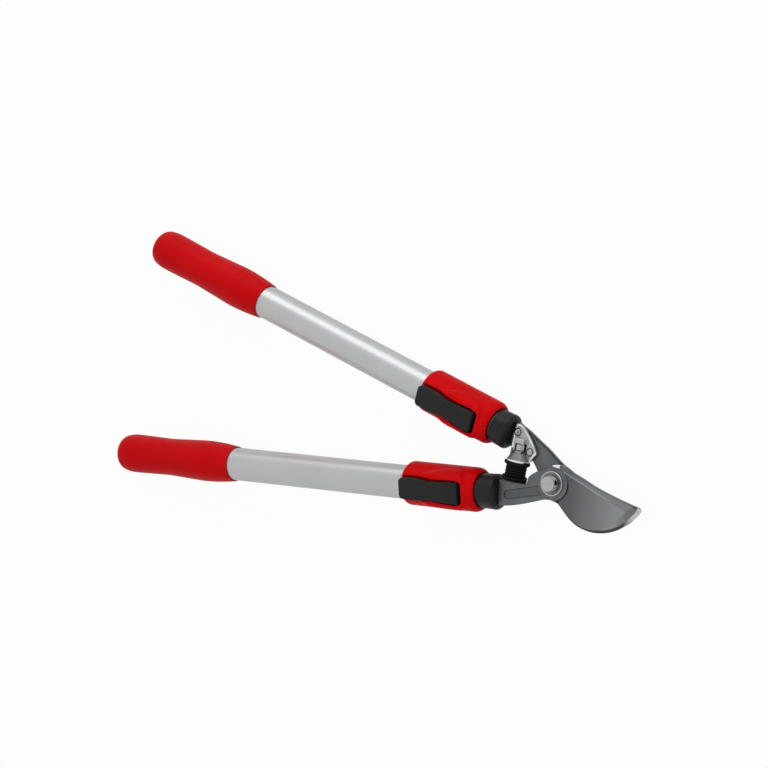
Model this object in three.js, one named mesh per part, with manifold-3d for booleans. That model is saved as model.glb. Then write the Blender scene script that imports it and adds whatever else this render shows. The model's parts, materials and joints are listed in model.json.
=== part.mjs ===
// A telescopic bypass lopper, closed and fully retracted, lying flat.
// +X runs from the grips to the blade's tip, +Z is up out of the plane of the two handles.
// The origin is the middle of the pivot bolt's flat face. Millimetres and degrees.
import * as THREE from 'three';
import { mergeVertices } from 'three/addons/utils/BufferGeometryUtils.js';
import Module from 'manifold-3d';

const wasm = await Module();
wasm.setup();

// Clearances and facets
const gap = 0.3; // between pieces that touch or slide
const overrun = 2; // how far a cutter passes what it cuts
const roundSides = 28;
const pinSides = 12;
const curveSteps = 3; // per stretch of an outline
const hexagonSides = 6;

// Where the two handles lie, seen from the pivot
const handleSpread = 20.2; // degrees between them when closed
const lowerOffset = 13.3; // pivot to the lower handle's axis
const upperOffset = 22.8; // pivot to the upper handle's axis

// Lengths along a handle, from the pivot back to the grip's end
const headReach = 56.9; // pivot to the ferrule's front
const ferruleLength = 18.2;
const collarLength = 83.9;
const bareTubeLength = 205.2; // outer tube seen between collar and grip
const gripLength = 143.6;

// Tubes
const outerRadius = 16;
const outerWall = 1.4;
const tubeRunning = 0.6; // inner tube to outer tube, all round
const innerWall = 1.4;

// Ferrule
const ferruleRadius = 16.5;
const ferruleWall = 4.8; // its closed front
const ferruleRound = 3.4;

// Plates of the head
const plateGap = 0.3; // between blade and hook where they pass
const bladeThickness = 5;
const hookThickness = 5;
const shoulderWidth = 24; // each arm where it meets its ferrule
const tangWidth = 19;
const tangLength = 44;

// Blade and hook, from the pivot
const bladeReach = 92.5; // to the tip
const bellyDrop = 33.1; // lowest point of the cutting edge
const hookReach = 84;
const hookDrop = 31;
const grindAngle = 6.3; // degrees, the ground face
const edgeAngle = 28; // degrees, the sharpened edge
const edgeThickness = 0.5;
const bossRadius = 14.8;
const bossRise = 0.4;

// Pivot
const boltRadius = 5.7;
const boltHeadRadius = 7.5;
const boltHeadHeight = 6.2;
const boltHeadChamfer = 0.6;
const keyHoleRadius = 1.7;
const keyHoleDepth = 3.5;
const pivotWasherRadius = 11.5;
const pivotWasherThickness = 1;
const backWasherRadius = 10;
const backWasherThickness = 1.2;
const pivotNutRadius = 8.7;
const pivotNutHeight = 6;
const boltTail = 1.2; // thread seen past the nut

// Bumper, square to the radius it swings on
const bumperRadius = 9.7;
const bumperFlangeRadius = 11.9;
const bumperFlangeHeight = 2.6;
const bumperHeight = 16.4;
const bumperAxisHeight = 4.6; // above the passing plane
const bumperAxisX = 40.1; // behind the pivot
const bumperTopY = 9.9;
const bumperRibDepth = 0.7;
const bumperRibs = 4;
const padThickness = 1.1;

// Bumper bracket
const bracketThickness = 2.6;
const bracketRimWidth = 2.6;
const bracketRimRise = 1.2;
const housingBack = 6.3; // the raised housing round the bolt's head, to each side of the bolt
const housingFront = 5.2;
const housingFoot = 18;
const housingEnd = 31.6;
const housingTop = 7.6;
const bellRadius = 10.3;
const bellTopRadius = 6.2;
const bellHeight = 10.6;
const bellRimHeight = 1.6;
const bumperBoltRadius = 2.4;
const bumperBoltHead = 4;
const bumperBoltHeadHeight = 5;
const bracketRivetRadius = 1.8;
const bracketRivetHead = 3.1;
const bracketRivetRise = 1.1;

// Rivets through inner tube and tang
const tangRivetRadius = 2.5;
const tangRivetInset = 7; // from the inner tube's front end to the first
const tangRivetPitch = 23;

// Clamp collar
const collarRadius = 20.7;
const collarBackRadius = 17.6; // at its grip end
const collarFrontRadius = 17.4; // at its ferrule end
const collarBackRound = 8;
const collarFrontRound = 7.5;
const guideLength = 27.4; // bore on the inner tube, ahead of the outer tube
const clampRoll = 9; // degrees, collar and lever turned about the handle
const cheekTop = 21.4;
const cheekTopHalf = 15;
const cheekFootHalf = 19.6;
const cheekFoot = 9;
const cheekLength = 50;
const cheekFade = 24; // its top falls to the collar over this length at the back
const cheekBackTop = 16.5;
const cheekFront = 10.1; // from the collar's front end
const cheekRound = 12;
const pocketFloor = 15.7;
const restFlat = 0.3; // ground off the underside
const fingerNotch = 6; // cut into the collar's grip end under the lever
const collarRivetRadius = 1.6;
const collarRivetHead = 3;
const collarRivetInset = 24; // from the collar's grip end
const collarRivetSink = 0.6;

// Lock lever
const leverLength = 64.6;
const leverHalf = 10.6;
const leverWaistHalf = 9.1;
const leverTop = 24;
const leverTopRound = 1.6;
const leverCorner = 3.4;
const leverPlay = 0.6; // each side in its pocket
const leverNose = 2.6; // ahead of the pin
const leverPinRadius = 1.5;
const leverPinHeight = 18.9;
const leverPinSink = 1.8; // its blind holes end inside the cheeks
const leverPinBack = 18.4; // from the collar's front end
const camRadius = 2.3;
const camThrow = 0.5;
const camHalf = 4;

// Clamp shoe
const shoeHalf = 5;
const shoeBehindPin = 7.4;
const shoeAheadPin = 2.2;

// Grip
const gripBulb = 19.05;
const gripWaist = 18.25;
const gripBelly = 20.05;
const gripRim = 16.9;
const gripEndWall = 8; // the closed dome, thick enough to cover the tube's corner

// Guide bush on the inner tube's tail, and the outer tube's end plug
const bushFlange = 3;
const bushSpigot = 12;
const bushBore = 8;
const tailClearance = 1;
const plugFlange = 2;
const plugSpigot = 6;

// Worked out from the sizes above
const innerRadius = outerRadius - outerWall - tubeRunning;
const outerBore = outerRadius - outerWall;
const innerBore = innerRadius - innerWall;
const ferruleFront = -headReach;
const ferruleBack = ferruleFront - ferruleLength;
const collarFront = ferruleBack - gap;
const collarBack = collarFront - collarLength;
const gripFront = collarBack - bareTubeLength;
const gripBack = gripFront - gripLength;
const gripFloor = gripBack + gripEndWall;
const plugBack = gripFloor + gap;
const outerTubeBack = plugBack + plugFlange + gap;
const outerTubeFront = collarFront - guideLength - gap;
const plugFront = plugBack + plugFlange + plugSpigot;
const bushBack = plugFront + tailClearance;
const innerTubeBack = bushBack + bushFlange + gap;
const innerTubeFront = ferruleFront - ferruleWall - gap;
const shoulder = ferruleFront + gap;
const bladeBottom = plateGap / 2;
const bladeTop = bladeBottom + bladeThickness;
const hookTop = -plateGap / 2;
const hookBottom = hookTop - hookThickness;
const bossTop = bladeTop + bossRise;
const washerBottom = bossTop + gap;
const boltShoulder = washerBottom + pivotWasherThickness + gap;
const pivotFace = boltShoulder + boltHeadHeight;
const backWasherTop = hookBottom - gap;
const nutTop = backWasherTop - backWasherThickness - gap;
const boltEnd = nutTop - pivotNutHeight - boltTail;
const pinX = collarFront - leverPinBack;
const leverFront = pinX + leverNose;
const leverBack = leverFront - leverLength;
const noseSwing = Math.hypot(leverNose - leverTopRound / 2, leverTop - leverPinHeight) + gap;
const shoeTop = leverPinHeight - camThrow - camRadius - gap;
const halfSpread = THREE.MathUtils.degToRad(handleSpread / 2);
const roll = THREE.MathUtils.degToRad(clampRoll);

// Finishes
const forgedSteel = new THREE.MeshStandardMaterial({ color: 0x83858a, roughness: 0.42, metalness: 0.9 });
const hookSteel = new THREE.MeshStandardMaterial({ color: 0x77797d, roughness: 0.45, metalness: 0.9 });
const plated = new THREE.MeshStandardMaterial({ color: 0xc9ccd0, roughness: 0.25, metalness: 1 });
const dieCast = new THREE.MeshStandardMaterial({ color: 0xb4b7bb, roughness: 0.35, metalness: 0.9 });
const anodised = new THREE.MeshStandardMaterial({ color: 0xc8cacd, roughness: 0.35, metalness: 0.85 });
const redGrip = new THREE.MeshStandardMaterial({ color: 0xc80c10, roughness: 0.45, metalness: 0 });
const redShell = new THREE.MeshStandardMaterial({ color: 0xd00d12, roughness: 0.3, metalness: 0 });
const charcoal = new THREE.MeshStandardMaterial({ color: 0x2c2c2d, roughness: 0.6, metalness: 0 });
const blackPlastic = new THREE.MeshStandardMaterial({ color: 0x1d1d1f, roughness: 0.5, metalness: 0 });
const blackRubber = new THREE.MeshStandardMaterial({ color: 0x141415, roughness: 0.75, metalness: 0 });

// Geometry helpers
function onlyPositions(geometry) {
  geometry.deleteAttribute('normal');
  geometry.deleteAttribute('uv');
  return mergeVertices(geometry);
}

function solid(geometry) {
  const bare = onlyPositions(geometry);
  const vertProperties = new Float32Array(bare.attributes.position.array);
  const triVerts = new Uint32Array(bare.index.array);
  return new wasm.Manifold(new wasm.Mesh({ numProp: 3, vertProperties, triVerts }));
}

function geometryOf(body) {
  const mesh = body.getMesh();
  const geometry = new THREE.BufferGeometry();
  geometry.setAttribute('position', new THREE.BufferAttribute(mesh.vertProperties, 3));
  geometry.setIndex(new THREE.BufferAttribute(mesh.triVerts, 1));
  return geometry;
}

function cut(geometry, ...cutters) {
  return geometryOf(cutters.reduce((body, cutter) => body.subtract(solid(cutter)), solid(geometry)));
}

function join(geometry, ...others) {
  return geometryOf(others.reduce((body, other) => body.add(solid(other)), solid(geometry)));
}

function keep(geometry, other) {
  return geometryOf(solid(geometry).intersect(solid(other)));
}

// A turned piece along +X: the profile runs [place along the axis, radius] with rising place on its outside
function turned(profile, sides = roundSides) {
  const points = profile.map(([along, radius]) => new THREE.Vector2(radius, along));
  return new THREE.LatheGeometry(points, sides).rotateZ(-Math.PI / 2);
}

function rodX(from, to, radius, sides = pinSides) {
  return turned([[from, 0], [from, radius], [to, radius], [to, 0]], sides);
}

function rodY(from, to, radius, sides = pinSides) {
  return rodX(from, to, radius, sides).rotateZ(Math.PI / 2);
}

function rodZ(from, to, radius, sides = pinSides) {
  return rodX(from, to, radius, sides).rotateY(-Math.PI / 2);
}

function tubeX(from, to, bore, radius, sides = roundSides) {
  return turned([[from, bore], [from, radius], [to, radius], [to, bore], [from, bore]], sides);
}

function block(x0, x1, y0, y1, z0, z1) {
  const box = new THREE.BoxGeometry(x1 - x0, y1 - y0, z1 - z0);
  return box.translate((x0 + x1) / 2, (y0 + y1) / 2, (z0 + z1) / 2);
}

function slab(shape, bottom, top) {
  const options = { depth: top - bottom, bevelEnabled: false, curveSegments: curveSteps };
  return new THREE.ExtrudeGeometry(shape, options).translate(0, 0, bottom);
}

function ringAcrossZ(from, to, bore, radius, sides = roundSides) {
  return tubeX(from, to, bore, radius, sides).rotateY(-Math.PI / 2);
}

// Points of an outline given as shares of a width and a height
function shared(shares, width, height) {
  return shares.map(([x, y]) => new THREE.Vector2(x * width, y * height));
}

function smooth(points) {
  return new THREE.SplineCurve(points).getPoints((points.length - 1) * curveSteps);
}

// A point on a handle's own axes, in the frame of the head
function onHandle(side, along, across) {
  const angle = -side * halfSpread;
  const offset = side > 0 ? upperOffset : -lowerOffset;
  const point = new THREE.Vector2(along, across + offset);
  return point.rotateAround(new THREE.Vector2(), angle);
}

const lowerSide = -1;
const upperSide = 1;

// The tang and shoulder of one arm, from its near corner round the tang to its far corner
function tangOutline(side, firstEdge) {
  const edge = (shoulderWidth / 2) * firstEdge;
  const tang = (tangWidth / 2) * firstEdge;
  const tangBack = innerTubeFront - tangLength;
  return [
    onHandle(side, shoulder, edge),
    onHandle(side, shoulder, tang),
    onHandle(side, tangBack, tang),
    onHandle(side, tangBack, -tang),
    onHandle(side, shoulder, -tang),
    onHandle(side, shoulder, -edge),
  ];
}

function rivetPlaces() {
  return [0, 1].map((i) => innerTubeFront - tangRivetInset - i * tangRivetPitch);
}

function tangHoles(side) {
  return rivetPlaces().map((along) => {
    const place = onHandle(side, along, 0);
    const hole = rodZ(hookBottom - overrun, bladeTop + overrun, tangRivetRadius + gap);
    return hole.translate(place.x, place.y, 0);
  });
}

function pivotHole() {
  return rodZ(hookBottom - overrun, bossTop + overrun, boltRadius + gap, roundSides);
}

// The blade's outlines, as shares of the blade's reach and belly drop, or of the head's reach
const bellyShares = [
  [0.063, -0.471], [0.15, -0.675], [0.248, -0.856], [0.339, -0.96], [0.427, -1], [0.523, -0.996],
  [0.633, -0.926], [0.726, -0.816], [0.806, -0.671], [0.873, -0.496], [0.932, -0.321], [0.98, -0.143],
  [0.998, -0.006],
];
const spineShares = [[0.976, 0.052], [0.761, 0.118], [0.5, 0.236], [0.312, 0.37], [0.202, 0.44]];
const bossTopShares = [
  [0.202, 0.44], [0.103, 0.547], [0.027, 0.546], [-0.035, 0.488], [-0.104, 0.354], [-0.178, 0.225],
  [-0.24, 0.091], [-0.276, -0.019],
];
const seatShares = [[-0.283, -0.238]];
const armUnderShares = [[-0.7, -0.554], [-0.52, -0.488], [-0.255, -0.365], [-0.1, -0.293], [0.02, -0.268]];

function bellyPoints() {
  return shared(bellyShares, bladeReach, bellyDrop);
}

function bladeOutline() {
  const belly = smooth(bellyPoints());
  const spine = smooth(shared(spineShares, bladeReach, bellyDrop));
  const bossCrown = smooth(shared(bossTopShares, bladeReach, bellyDrop)).slice(1);
  const seat = shared(seatShares, bladeReach, bellyDrop);
  const under = smooth([onHandle(lowerSide, shoulder, -shoulderWidth / 2),
    ...shared(armUnderShares, headReach, headReach)]).slice(1);
  return new THREE.Shape([...belly, ...spine, ...bossCrown, ...seat, ...tangOutline(lowerSide, 1), ...under]);
}

// The wedge of steel ground away below the blade's spine band, clear of the boss
const grindStartShares = [0.2, 0.332];
const grindSlope = -0.26; // the band's lower line, rise over run
const grindBossClear = 1.2;

function grindCutter() {
  const size = bladeReach * 2;
  const wedge = new THREE.BoxGeometry(size, size, size);
  wedge.translate(0, -size / 2, size / 2);
  wedge.rotateX(THREE.MathUtils.degToRad(grindAngle));
  wedge.rotateZ(Math.atan(grindSlope));
  wedge.translate(grindStartShares[0] * bladeReach, grindStartShares[1] * bellyDrop, bladeTop);
  const keepBoss = rodZ(-size, size, bossRadius + grindBossClear, roundSides);
  const keepArm = block(-size, bossRadius / 2, -size, size, -size, size);
  return cut(wedge, keepBoss, keepArm);
}

// A triangle swept along the cutting edge takes off the sharpened bevel
function edgeCutter() {
  const slope = Math.tan(THREE.MathUtils.degToRad(edgeAngle));
  const low = bladeBottom + edgeThickness - slope * overrun;
  const high = bossTop + overrun;
  const run = (high - low) / slope - overrun;
  const section = new THREE.Shape([
    new THREE.Vector2(-low, -overrun),
    new THREE.Vector2(-high, -overrun),
    new THREE.Vector2(-high, run),
  ]);
  const points = bellyPoints().slice(1);
  const [before, tip] = points.slice(-2);
  points.push(tip.clone().multiplyScalar(2).sub(before));
  const path = new THREE.CatmullRomCurve3(points.map((p) => new THREE.Vector3(p.x, p.y, 0)));
  const options = { steps: points.length * 2, bevelEnabled: false, extrudePath: path };
  return new THREE.ExtrudeGeometry(section, options);
}

// The long shallow pocket pressed into the arm's face
const pocketEndShares = [[-0.765, -0.39], [-0.215, -0.175]];
const pocketHalf = 4.3;
const pocketDepth = 1.1;

function pocketCutter() {
  const [back, front] = shared(pocketEndShares, headReach, headReach);
  const angle = Math.atan2(front.y - back.y, front.x - back.x);
  const length = front.distanceTo(back);
  const shape = new THREE.Shape();
  shape.absarc(0, 0, pocketHalf, Math.PI / 2, 1.5 * Math.PI);
  shape.absarc(length, 0, pocketHalf, -Math.PI / 2, Math.PI / 2);
  const pocket = slab(shape, bladeTop - pocketDepth, bladeTop + overrun);
  return pocket.rotateZ(angle).translate(back.x, back.y, 0);
}

function bladeArm() {
  const plate = slab(bladeOutline(), bladeBottom, bladeTop);
  const boss = rodZ(bladeBottom, bossTop, bossRadius, roundSides);
  const ground = cut(plate, grindCutter(), edgeCutter());
  const pocketed = cut(ground, pocketCutter());
  return cut(join(pocketed, boss), pivotHole(), ...tangHoles(lowerSide));
}

// The hook's outlines, as shares of its reach and drop, or of the head's reach
const hookBackShares = [
  [0, -0.465], [0.1, -0.51], [0.19, -0.66], [0.285, -0.845], [0.38, -0.95], [0.48, -1], [0.58, -0.995],
  [0.69, -0.94], [0.79, -0.835], [0.88, -0.69], [0.95, -0.54],
];
const hookTipShares = [[0.985, -0.44], [1, -0.37], [0.985, -0.335]];
const hookThroatShares = [
  [0.95, -0.35], [0.87, -0.42], [0.77, -0.54], [0.65, -0.62], [0.53, -0.6], [0.42, -0.5], [0.325, -0.3],
  [0.26, -0.05], [0.225, 0.17], [0.197, 0.41],
];
const hookTopShares = [
  [0.205, 0.255], [-0.01, 0.36], [-0.225, 0.482], [-0.44, 0.583], [-0.65, 0.684], [-0.78, 0.733],
];
const hookUnderShares = [
  [-0.75, 0.335], [-0.62, 0.315], [-0.5, 0.24], [-0.42, 0.165], [-0.36, 0.09], [-0.3, -0.02],
  [-0.25, -0.14], [-0.14, -0.235],
];

function hookOutline() {
  const back = smooth(shared(hookBackShares, hookReach, hookDrop));
  const tip = shared(hookTipShares, hookReach, hookDrop);
  const throat = smooth(shared(hookThroatShares, hookReach, hookDrop));
  const top = smooth(shared(hookTopShares, headReach, headReach)).slice(1);
  const under = smooth(shared(hookUnderShares, headReach, headReach));
  return new THREE.Shape([...back, ...tip, ...throat, ...top, ...tangOutline(upperSide, 1), ...under]);
}

function hookArm() {
  const plate = slab(hookOutline(), hookBottom, hookTop);
  const rivetHoles = bracketRivetPlaces().map(([x, y]) => {
    return rodZ(hookBottom - overrun, hookTop + overrun, bracketRivetRadius + gap).translate(x, y, 0);
  });
  return cut(plate, pivotHole(), ...rivetHoles, ...tangHoles(upperSide));
}

// Pivot bolt, washers and nut
function pivotBolt() {
  const body = turned([
    [boltEnd, 0], [boltEnd, boltRadius], [boltShoulder, boltRadius], [boltShoulder, boltHeadRadius],
    [pivotFace - boltHeadChamfer, boltHeadRadius], [pivotFace, boltHeadRadius - boltHeadChamfer],
    [pivotFace, 0],
  ]).rotateY(-Math.PI / 2);
  const keyHole = rodX(boltHeadRadius - keyHoleDepth, boltHeadRadius + overrun, keyHoleRadius);
  return cut(body, keyHole.translate(0, 0, (boltShoulder + pivotFace) / 2));
}

function pivotWasher() {
  return ringAcrossZ(washerBottom, washerBottom + pivotWasherThickness, boltRadius + gap, pivotWasherRadius);
}

function backWasher() {
  return ringAcrossZ(backWasherTop - backWasherThickness, backWasherTop, boltRadius + gap, backWasherRadius);
}

function pivotNut() {
  const bottom = nutTop - pivotNutHeight;
  const hexagon = rodZ(bottom, nutTop, pivotNutRadius, hexagonSides);
  return cut(hexagon, rodZ(bottom - overrun, nutTop + overrun, boltRadius + gap, roundSides));
}

// Bumper bracket, its rivets and its bolt
const bracketShares = [
  [-0.87, 0.755], [-0.787, 0.757], [-0.663, 0.672], [-0.542, 0.564], [-0.457, 0.462], [-0.406, 0.369],
  [-0.446, 0.305], [-0.5, 0.212],
];
const bracketLeftShares = [[-0.884, 0.255], [-0.879, 0.47], [-0.89, 0.63]];
const rivetPlaceShares = [[-0.828, 0.631], [-0.54, 0.365]];
const windowFoot = 20.8; // the bolt head's window, above the pivot's level
const windowHeight = 6.6;
const windowHalf = 4.35;
const bellBackClear = 15.6; // above this the bell is cut flat against the hook's plate

function bracketRivetPlaces() {
  return rivetPlaceShares.map(([x, y]) => [x * headReach, y * headReach]);
}

function bracketOutline(inset) {
  const right = smooth(shared(bracketShares, headReach, headReach)).slice(1);
  const left = shared(bracketLeftShares, headReach, headReach);
  const points = [...right, ...left];
  const middle = new THREE.Vector2();
  points.forEach((p) => middle.addScaledVector(p, 1 / points.length));
  return new THREE.Shape(points.reverse().map((p) => {
    const inward = middle.clone().sub(p).setLength(inset);
    return p.clone().add(inward);
  }));
}

// How high each ring of the bell is, as a share of its height, and how far in from its rim to its top
const bellShares = [[0.45, 0.5], [0.8, 1]];
const bellCrownShare = 0.8; // the flat crown's radius, of the bell's top radius

function bell() {
  const foot = bumperTopY + gap;
  const sides = bellShares.map(([up, inward]) => {
    return [foot + bellHeight * up, bellRadius + (bellTopRadius - bellRadius) * inward];
  });
  const profile = [
    [foot, 0], [foot, bellRadius], [foot + bellRimHeight, bellRadius], ...sides,
    [foot + bellHeight, bellTopRadius * bellCrownShare], [foot + bellHeight, 0],
  ];
  return turned(profile).rotateZ(Math.PI / 2).translate(-bumperAxisX, 0, bumperAxisHeight);
}

function bumperBracket() {
  const bottom = hookTop + gap;
  const base = slab(bracketOutline(0), bottom, bottom + bracketThickness);
  const rim = slab(bracketOutline(0), bottom, bottom + bracketThickness + bracketRimRise);
  const aboveRim = bottom + bracketThickness + bracketRimRise + overrun;
  const raised = cut(rim, slab(bracketOutline(bracketRimWidth), bottom - overrun, aboveRim));
  const far = bumperAxisX + bellRadius + overrun;
  const behind = block(-far, far, bellBackClear, bellBackClear + headReach, bottom - headReach, bottom);
  const window = block(
    -bumperAxisX - windowHalf, -bumperAxisX + windowHalf, windowFoot, windowFoot + windowHeight,
    bottom - overrun, bottom + headReach,
  );
  const housing = block(
    -bumperAxisX - housingBack, -bumperAxisX + housingFront, housingFoot, housingEnd,
    bottom + gap, housingTop,
  );
  const boltHole = rodY(0, windowFoot + overrun, bumperBoltRadius + gap);
  boltHole.translate(-bumperAxisX, 0, bumperAxisHeight);
  const rivetHoles = bracketRivetPlaces().map(([x, y]) => {
    return rodZ(bottom - overrun, bottom + headReach, bracketRivetRadius + gap).translate(x, y, 0);
  });
  const rivetSeats = bracketRivetPlaces().map(([x, y]) => {
    const seat = bottom + bracketThickness;
    return rodZ(seat, seat + headReach, bracketRivetHead + gap).translate(x, y, 0);
  });
  const body = join(base, raised, bell(), housing);
  return cut(body, behind, window, boltHole, ...rivetHoles, ...rivetSeats);
}

const rivetTailShare = 0.8; // the tail's flat end, of the head's radius
const rivetCrownShare = 0.7; // the head's flat top, of the head's radius

function bracketRivet() {
  const top = hookTop + gap + bracketThickness + gap;
  const bottom = hookBottom - gap;
  return turned([
    [bottom - bracketRivetRise, 0], [bottom - bracketRivetRise, bracketRivetHead * rivetTailShare],
    [bottom, bracketRivetHead], [bottom, bracketRivetRadius],
    [top, bracketRivetRadius], [top, bracketRivetHead],
    [top + bracketRivetRise, bracketRivetHead * rivetCrownShare], [top + bracketRivetRise, 0],
  ], pinSides).rotateY(-Math.PI / 2);
}

const boltDepthShare = 0.8; // how far the bolt reaches into the bumper, of the bumper's height

function bumperBolt() {
  const seat = windowFoot + gap;
  const end = bumperTopY - bumperHeight * boltDepthShare;
  const top = seat + bumperBoltHeadHeight;
  const shank = rodY(end, top, bumperBoltRadius);
  const head = rodY(seat, top, bumperBoltHead, hexagonSides);
  return join(shank, head).translate(-bumperAxisX, 0, bumperAxisHeight);
}

// The rubber bumper: two flanges and ribs between them, on the bolt
const ribShares = [[0.15, 1], [0.5, 0], [0.85, 1]]; // along one rib's pitch, and how deep below the ribs

function bumper() {
  const top = bumperTopY;
  const bottom = bumperTopY - bumperHeight;
  const bore = bumperBoltRadius + gap;
  const profile = [
    [bottom, 0], [bottom, bumperFlangeRadius], [bottom + bumperFlangeHeight, bumperFlangeRadius],
  ];
  const ribPitch = (bumperHeight - bumperFlangeHeight * 2) / bumperRibs;
  for (let i = 0; i < bumperRibs; i += 1) {
    const start = bottom + bumperFlangeHeight + i * ribPitch;
    ribShares.forEach(([along, deep]) => {
      profile.push([start + ribPitch * along, bumperRadius - bumperRibDepth * deep]);
    });
  }
  profile.push([top - bumperFlangeHeight, bumperFlangeRadius], [top, bumperFlangeRadius], [top, 0]);
  const body = turned(profile).rotateZ(Math.PI / 2);
  const hole = rodY(top - bumperHeight * boltDepthShare - gap, top + overrun, bore);
  return cut(body, hole).translate(-bumperAxisX, 0, bumperAxisHeight);
}

// The hard pad under the bumper, cut to lie along the arm's seat
function strikePad() {
  const top = bumperTopY - bumperHeight - gap;
  const pad = rodY(top - padThickness, top, bumperFlangeRadius, roundSides);
  return pad.translate(-bumperAxisX, 0, bumperAxisHeight);
}

// One handle's pieces, along +X towards the head
const roundShare = 0.3; // how far along a rounded edge its middle point lies

function ferrule(plateLow, plateHigh) {
  const bore = innerRadius + gap;
  const inside = ferruleFront - ferruleWall;
  const profile = [
    [inside, 0], [inside, bore], [ferruleBack, bore], [ferruleBack, ferruleRadius],
    [ferruleFront - ferruleRound, ferruleRadius],
    [ferruleFront - ferruleRound * roundShare, ferruleRadius - ferruleRound * roundShare],
    [ferruleFront, ferruleRadius - ferruleRound], [ferruleFront, 0],
  ];
  const half = tangWidth / 2 + gap;
  const slot = block(inside - overrun, ferruleFront + overrun, -half, half, plateLow - gap, plateHigh + gap);
  return cut(turned(profile), slot);
}

function innerTube() {
  const body = tubeX(innerTubeBack, innerTubeFront, innerBore, innerRadius);
  const holes = rivetPlaces().map((along) => {
    return rodZ(-outerRadius, outerRadius, tangRivetRadius + gap).translate(along, 0, 0);
  });
  return cut(body, ...holes);
}

function tangRivet() {
  const half = Math.sqrt(innerRadius ** 2 - tangRivetRadius ** 2) - gap / 2;
  return rodZ(-half, half, tangRivetRadius);
}

function guideBush() {
  return turned([
    [bushBack, bushBore], [bushBack, outerBore - gap], [bushBack + bushFlange, outerBore - gap],
    [bushBack + bushFlange, innerBore - gap], [bushBack + bushFlange + bushSpigot, innerBore - gap],
    [bushBack + bushFlange + bushSpigot, bushBore], [bushBack, bushBore],
  ]);
}

function outerTube() {
  const body = tubeX(outerTubeBack, outerTubeFront, outerBore, outerRadius);
  const along = collarBack + collarRivetInset;
  return cut(body, rodZ(-collarRadius, 0, collarRivetRadius + gap).translate(along, 0, 0).rotateX(roll));
}

function endPlug() {
  return turned([
    [plugBack, 0], [plugBack, outerRadius], [plugBack + plugFlange, outerRadius],
    [plugBack + plugFlange, outerBore - gap], [plugFront, outerBore - gap], [plugFront, 0],
  ]);
}

// The grip's outside: shares of its length, with shares of the bulb's radius or the radius at each place
const domeShares = [[0, 0.36], [0.012, 0.7], [0.04, 0.9], [0.09, 0.985]];
const swellShares = [0.14, 0.28, 0.43, 0.58, 0.75, 0.87, 0.95, 0.985, 1];
const skinSteps = 17;

function grip() {
  const dome = domeShares.map(([along, share]) => [along, share * gripBulb]);
  const radii = [
    gripBulb, (gripBulb + gripWaist) / 2, gripWaist, (gripWaist + gripBelly) / 2, gripBelly,
    (gripBelly + gripWaist) / 2, gripWaist, (gripWaist + gripRim) / 2, gripRim,
  ];
  const swell = swellShares.map((along, i) => [along, radii[i]]);
  const places = [...dome, ...swell].map(([along, radius]) => {
    return new THREE.Vector2(gripBack + along * gripLength, radius);
  });
  const skin = new THREE.SplineCurve(places).getPoints(skinSteps).map((p) => [p.x, p.y]);
  const bore = outerRadius + gap;
  return turned([[gripBack, 0], ...skin, [gripFront, bore], [gripFloor, bore], [gripFloor, 0]]);
}

// The collar: a round shell with two cheeks that carry the lever's pin
function collarShell() {
  return turned([
    [collarBack, 0], [collarBack, collarBackRadius],
    [collarBack + collarBackRound * roundShare, (collarRadius + collarBackRadius) / 2],
    [collarBack + collarBackRound, collarRadius], [collarFront - collarFrontRound, collarRadius],
    [collarFront - collarFrontRound * roundShare, (collarRadius + collarFrontRadius) / 2],
    [collarFront, collarFrontRadius], [collarFront, 0],
  ]);
}

function cheeks() {
  const front = collarFront - cheekFront;
  const section = new THREE.Shape([
    new THREE.Vector2(-cheekFootHalf, cheekFoot),
    new THREE.Vector2(cheekFootHalf, cheekFoot),
    new THREE.Vector2(cheekTopHalf, cheekTop),
    new THREE.Vector2(-cheekTopHalf, cheekTop),
  ]);
  const options = { depth: cheekLength, bevelEnabled: false };
  const bar = new THREE.ExtrudeGeometry(section, options).rotateX(Math.PI / 2).rotateZ(Math.PI / 2);
  bar.translate(front - cheekLength, 0, 0);
  const plan = new THREE.Shape();
  const back = front - cheekLength;
  plan.moveTo(back, -cheekTopHalf);
  plan.lineTo(back, cheekTopHalf);
  plan.lineTo(back + cheekFade, cheekFootHalf);
  plan.lineTo(front - cheekRound, cheekFootHalf);
  plan.absarc(front - cheekRound, cheekFootHalf - cheekRound, cheekRound, Math.PI / 2, 0, true);
  plan.absarc(front - cheekRound, -cheekFootHalf + cheekRound, cheekRound, 0, -Math.PI / 2, true);
  plan.lineTo(back + cheekFade, -cheekFootHalf);
  const faded = new THREE.Shape([
    new THREE.Vector2(back, 0),
    new THREE.Vector2(front, 0),
    new THREE.Vector2(front, cheekTop),
    new THREE.Vector2(back + cheekFade, cheekTop),
    new THREE.Vector2(back, cheekBackTop),
  ]);
  const fadedBar = keep(bar, slab(faded, -cheekFootHalf, cheekFootHalf).rotateX(Math.PI / 2));
  return keep(fadedBar, slab(plan, 0, cheekTop + overrun));
}

// The lever's plan outline, wider by play, from its tail to its nose
const waistShares = [[0.3, 0], [0.5, 1], [0.75, 0.33]]; // along the lever, and how deep into its waist

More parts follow.
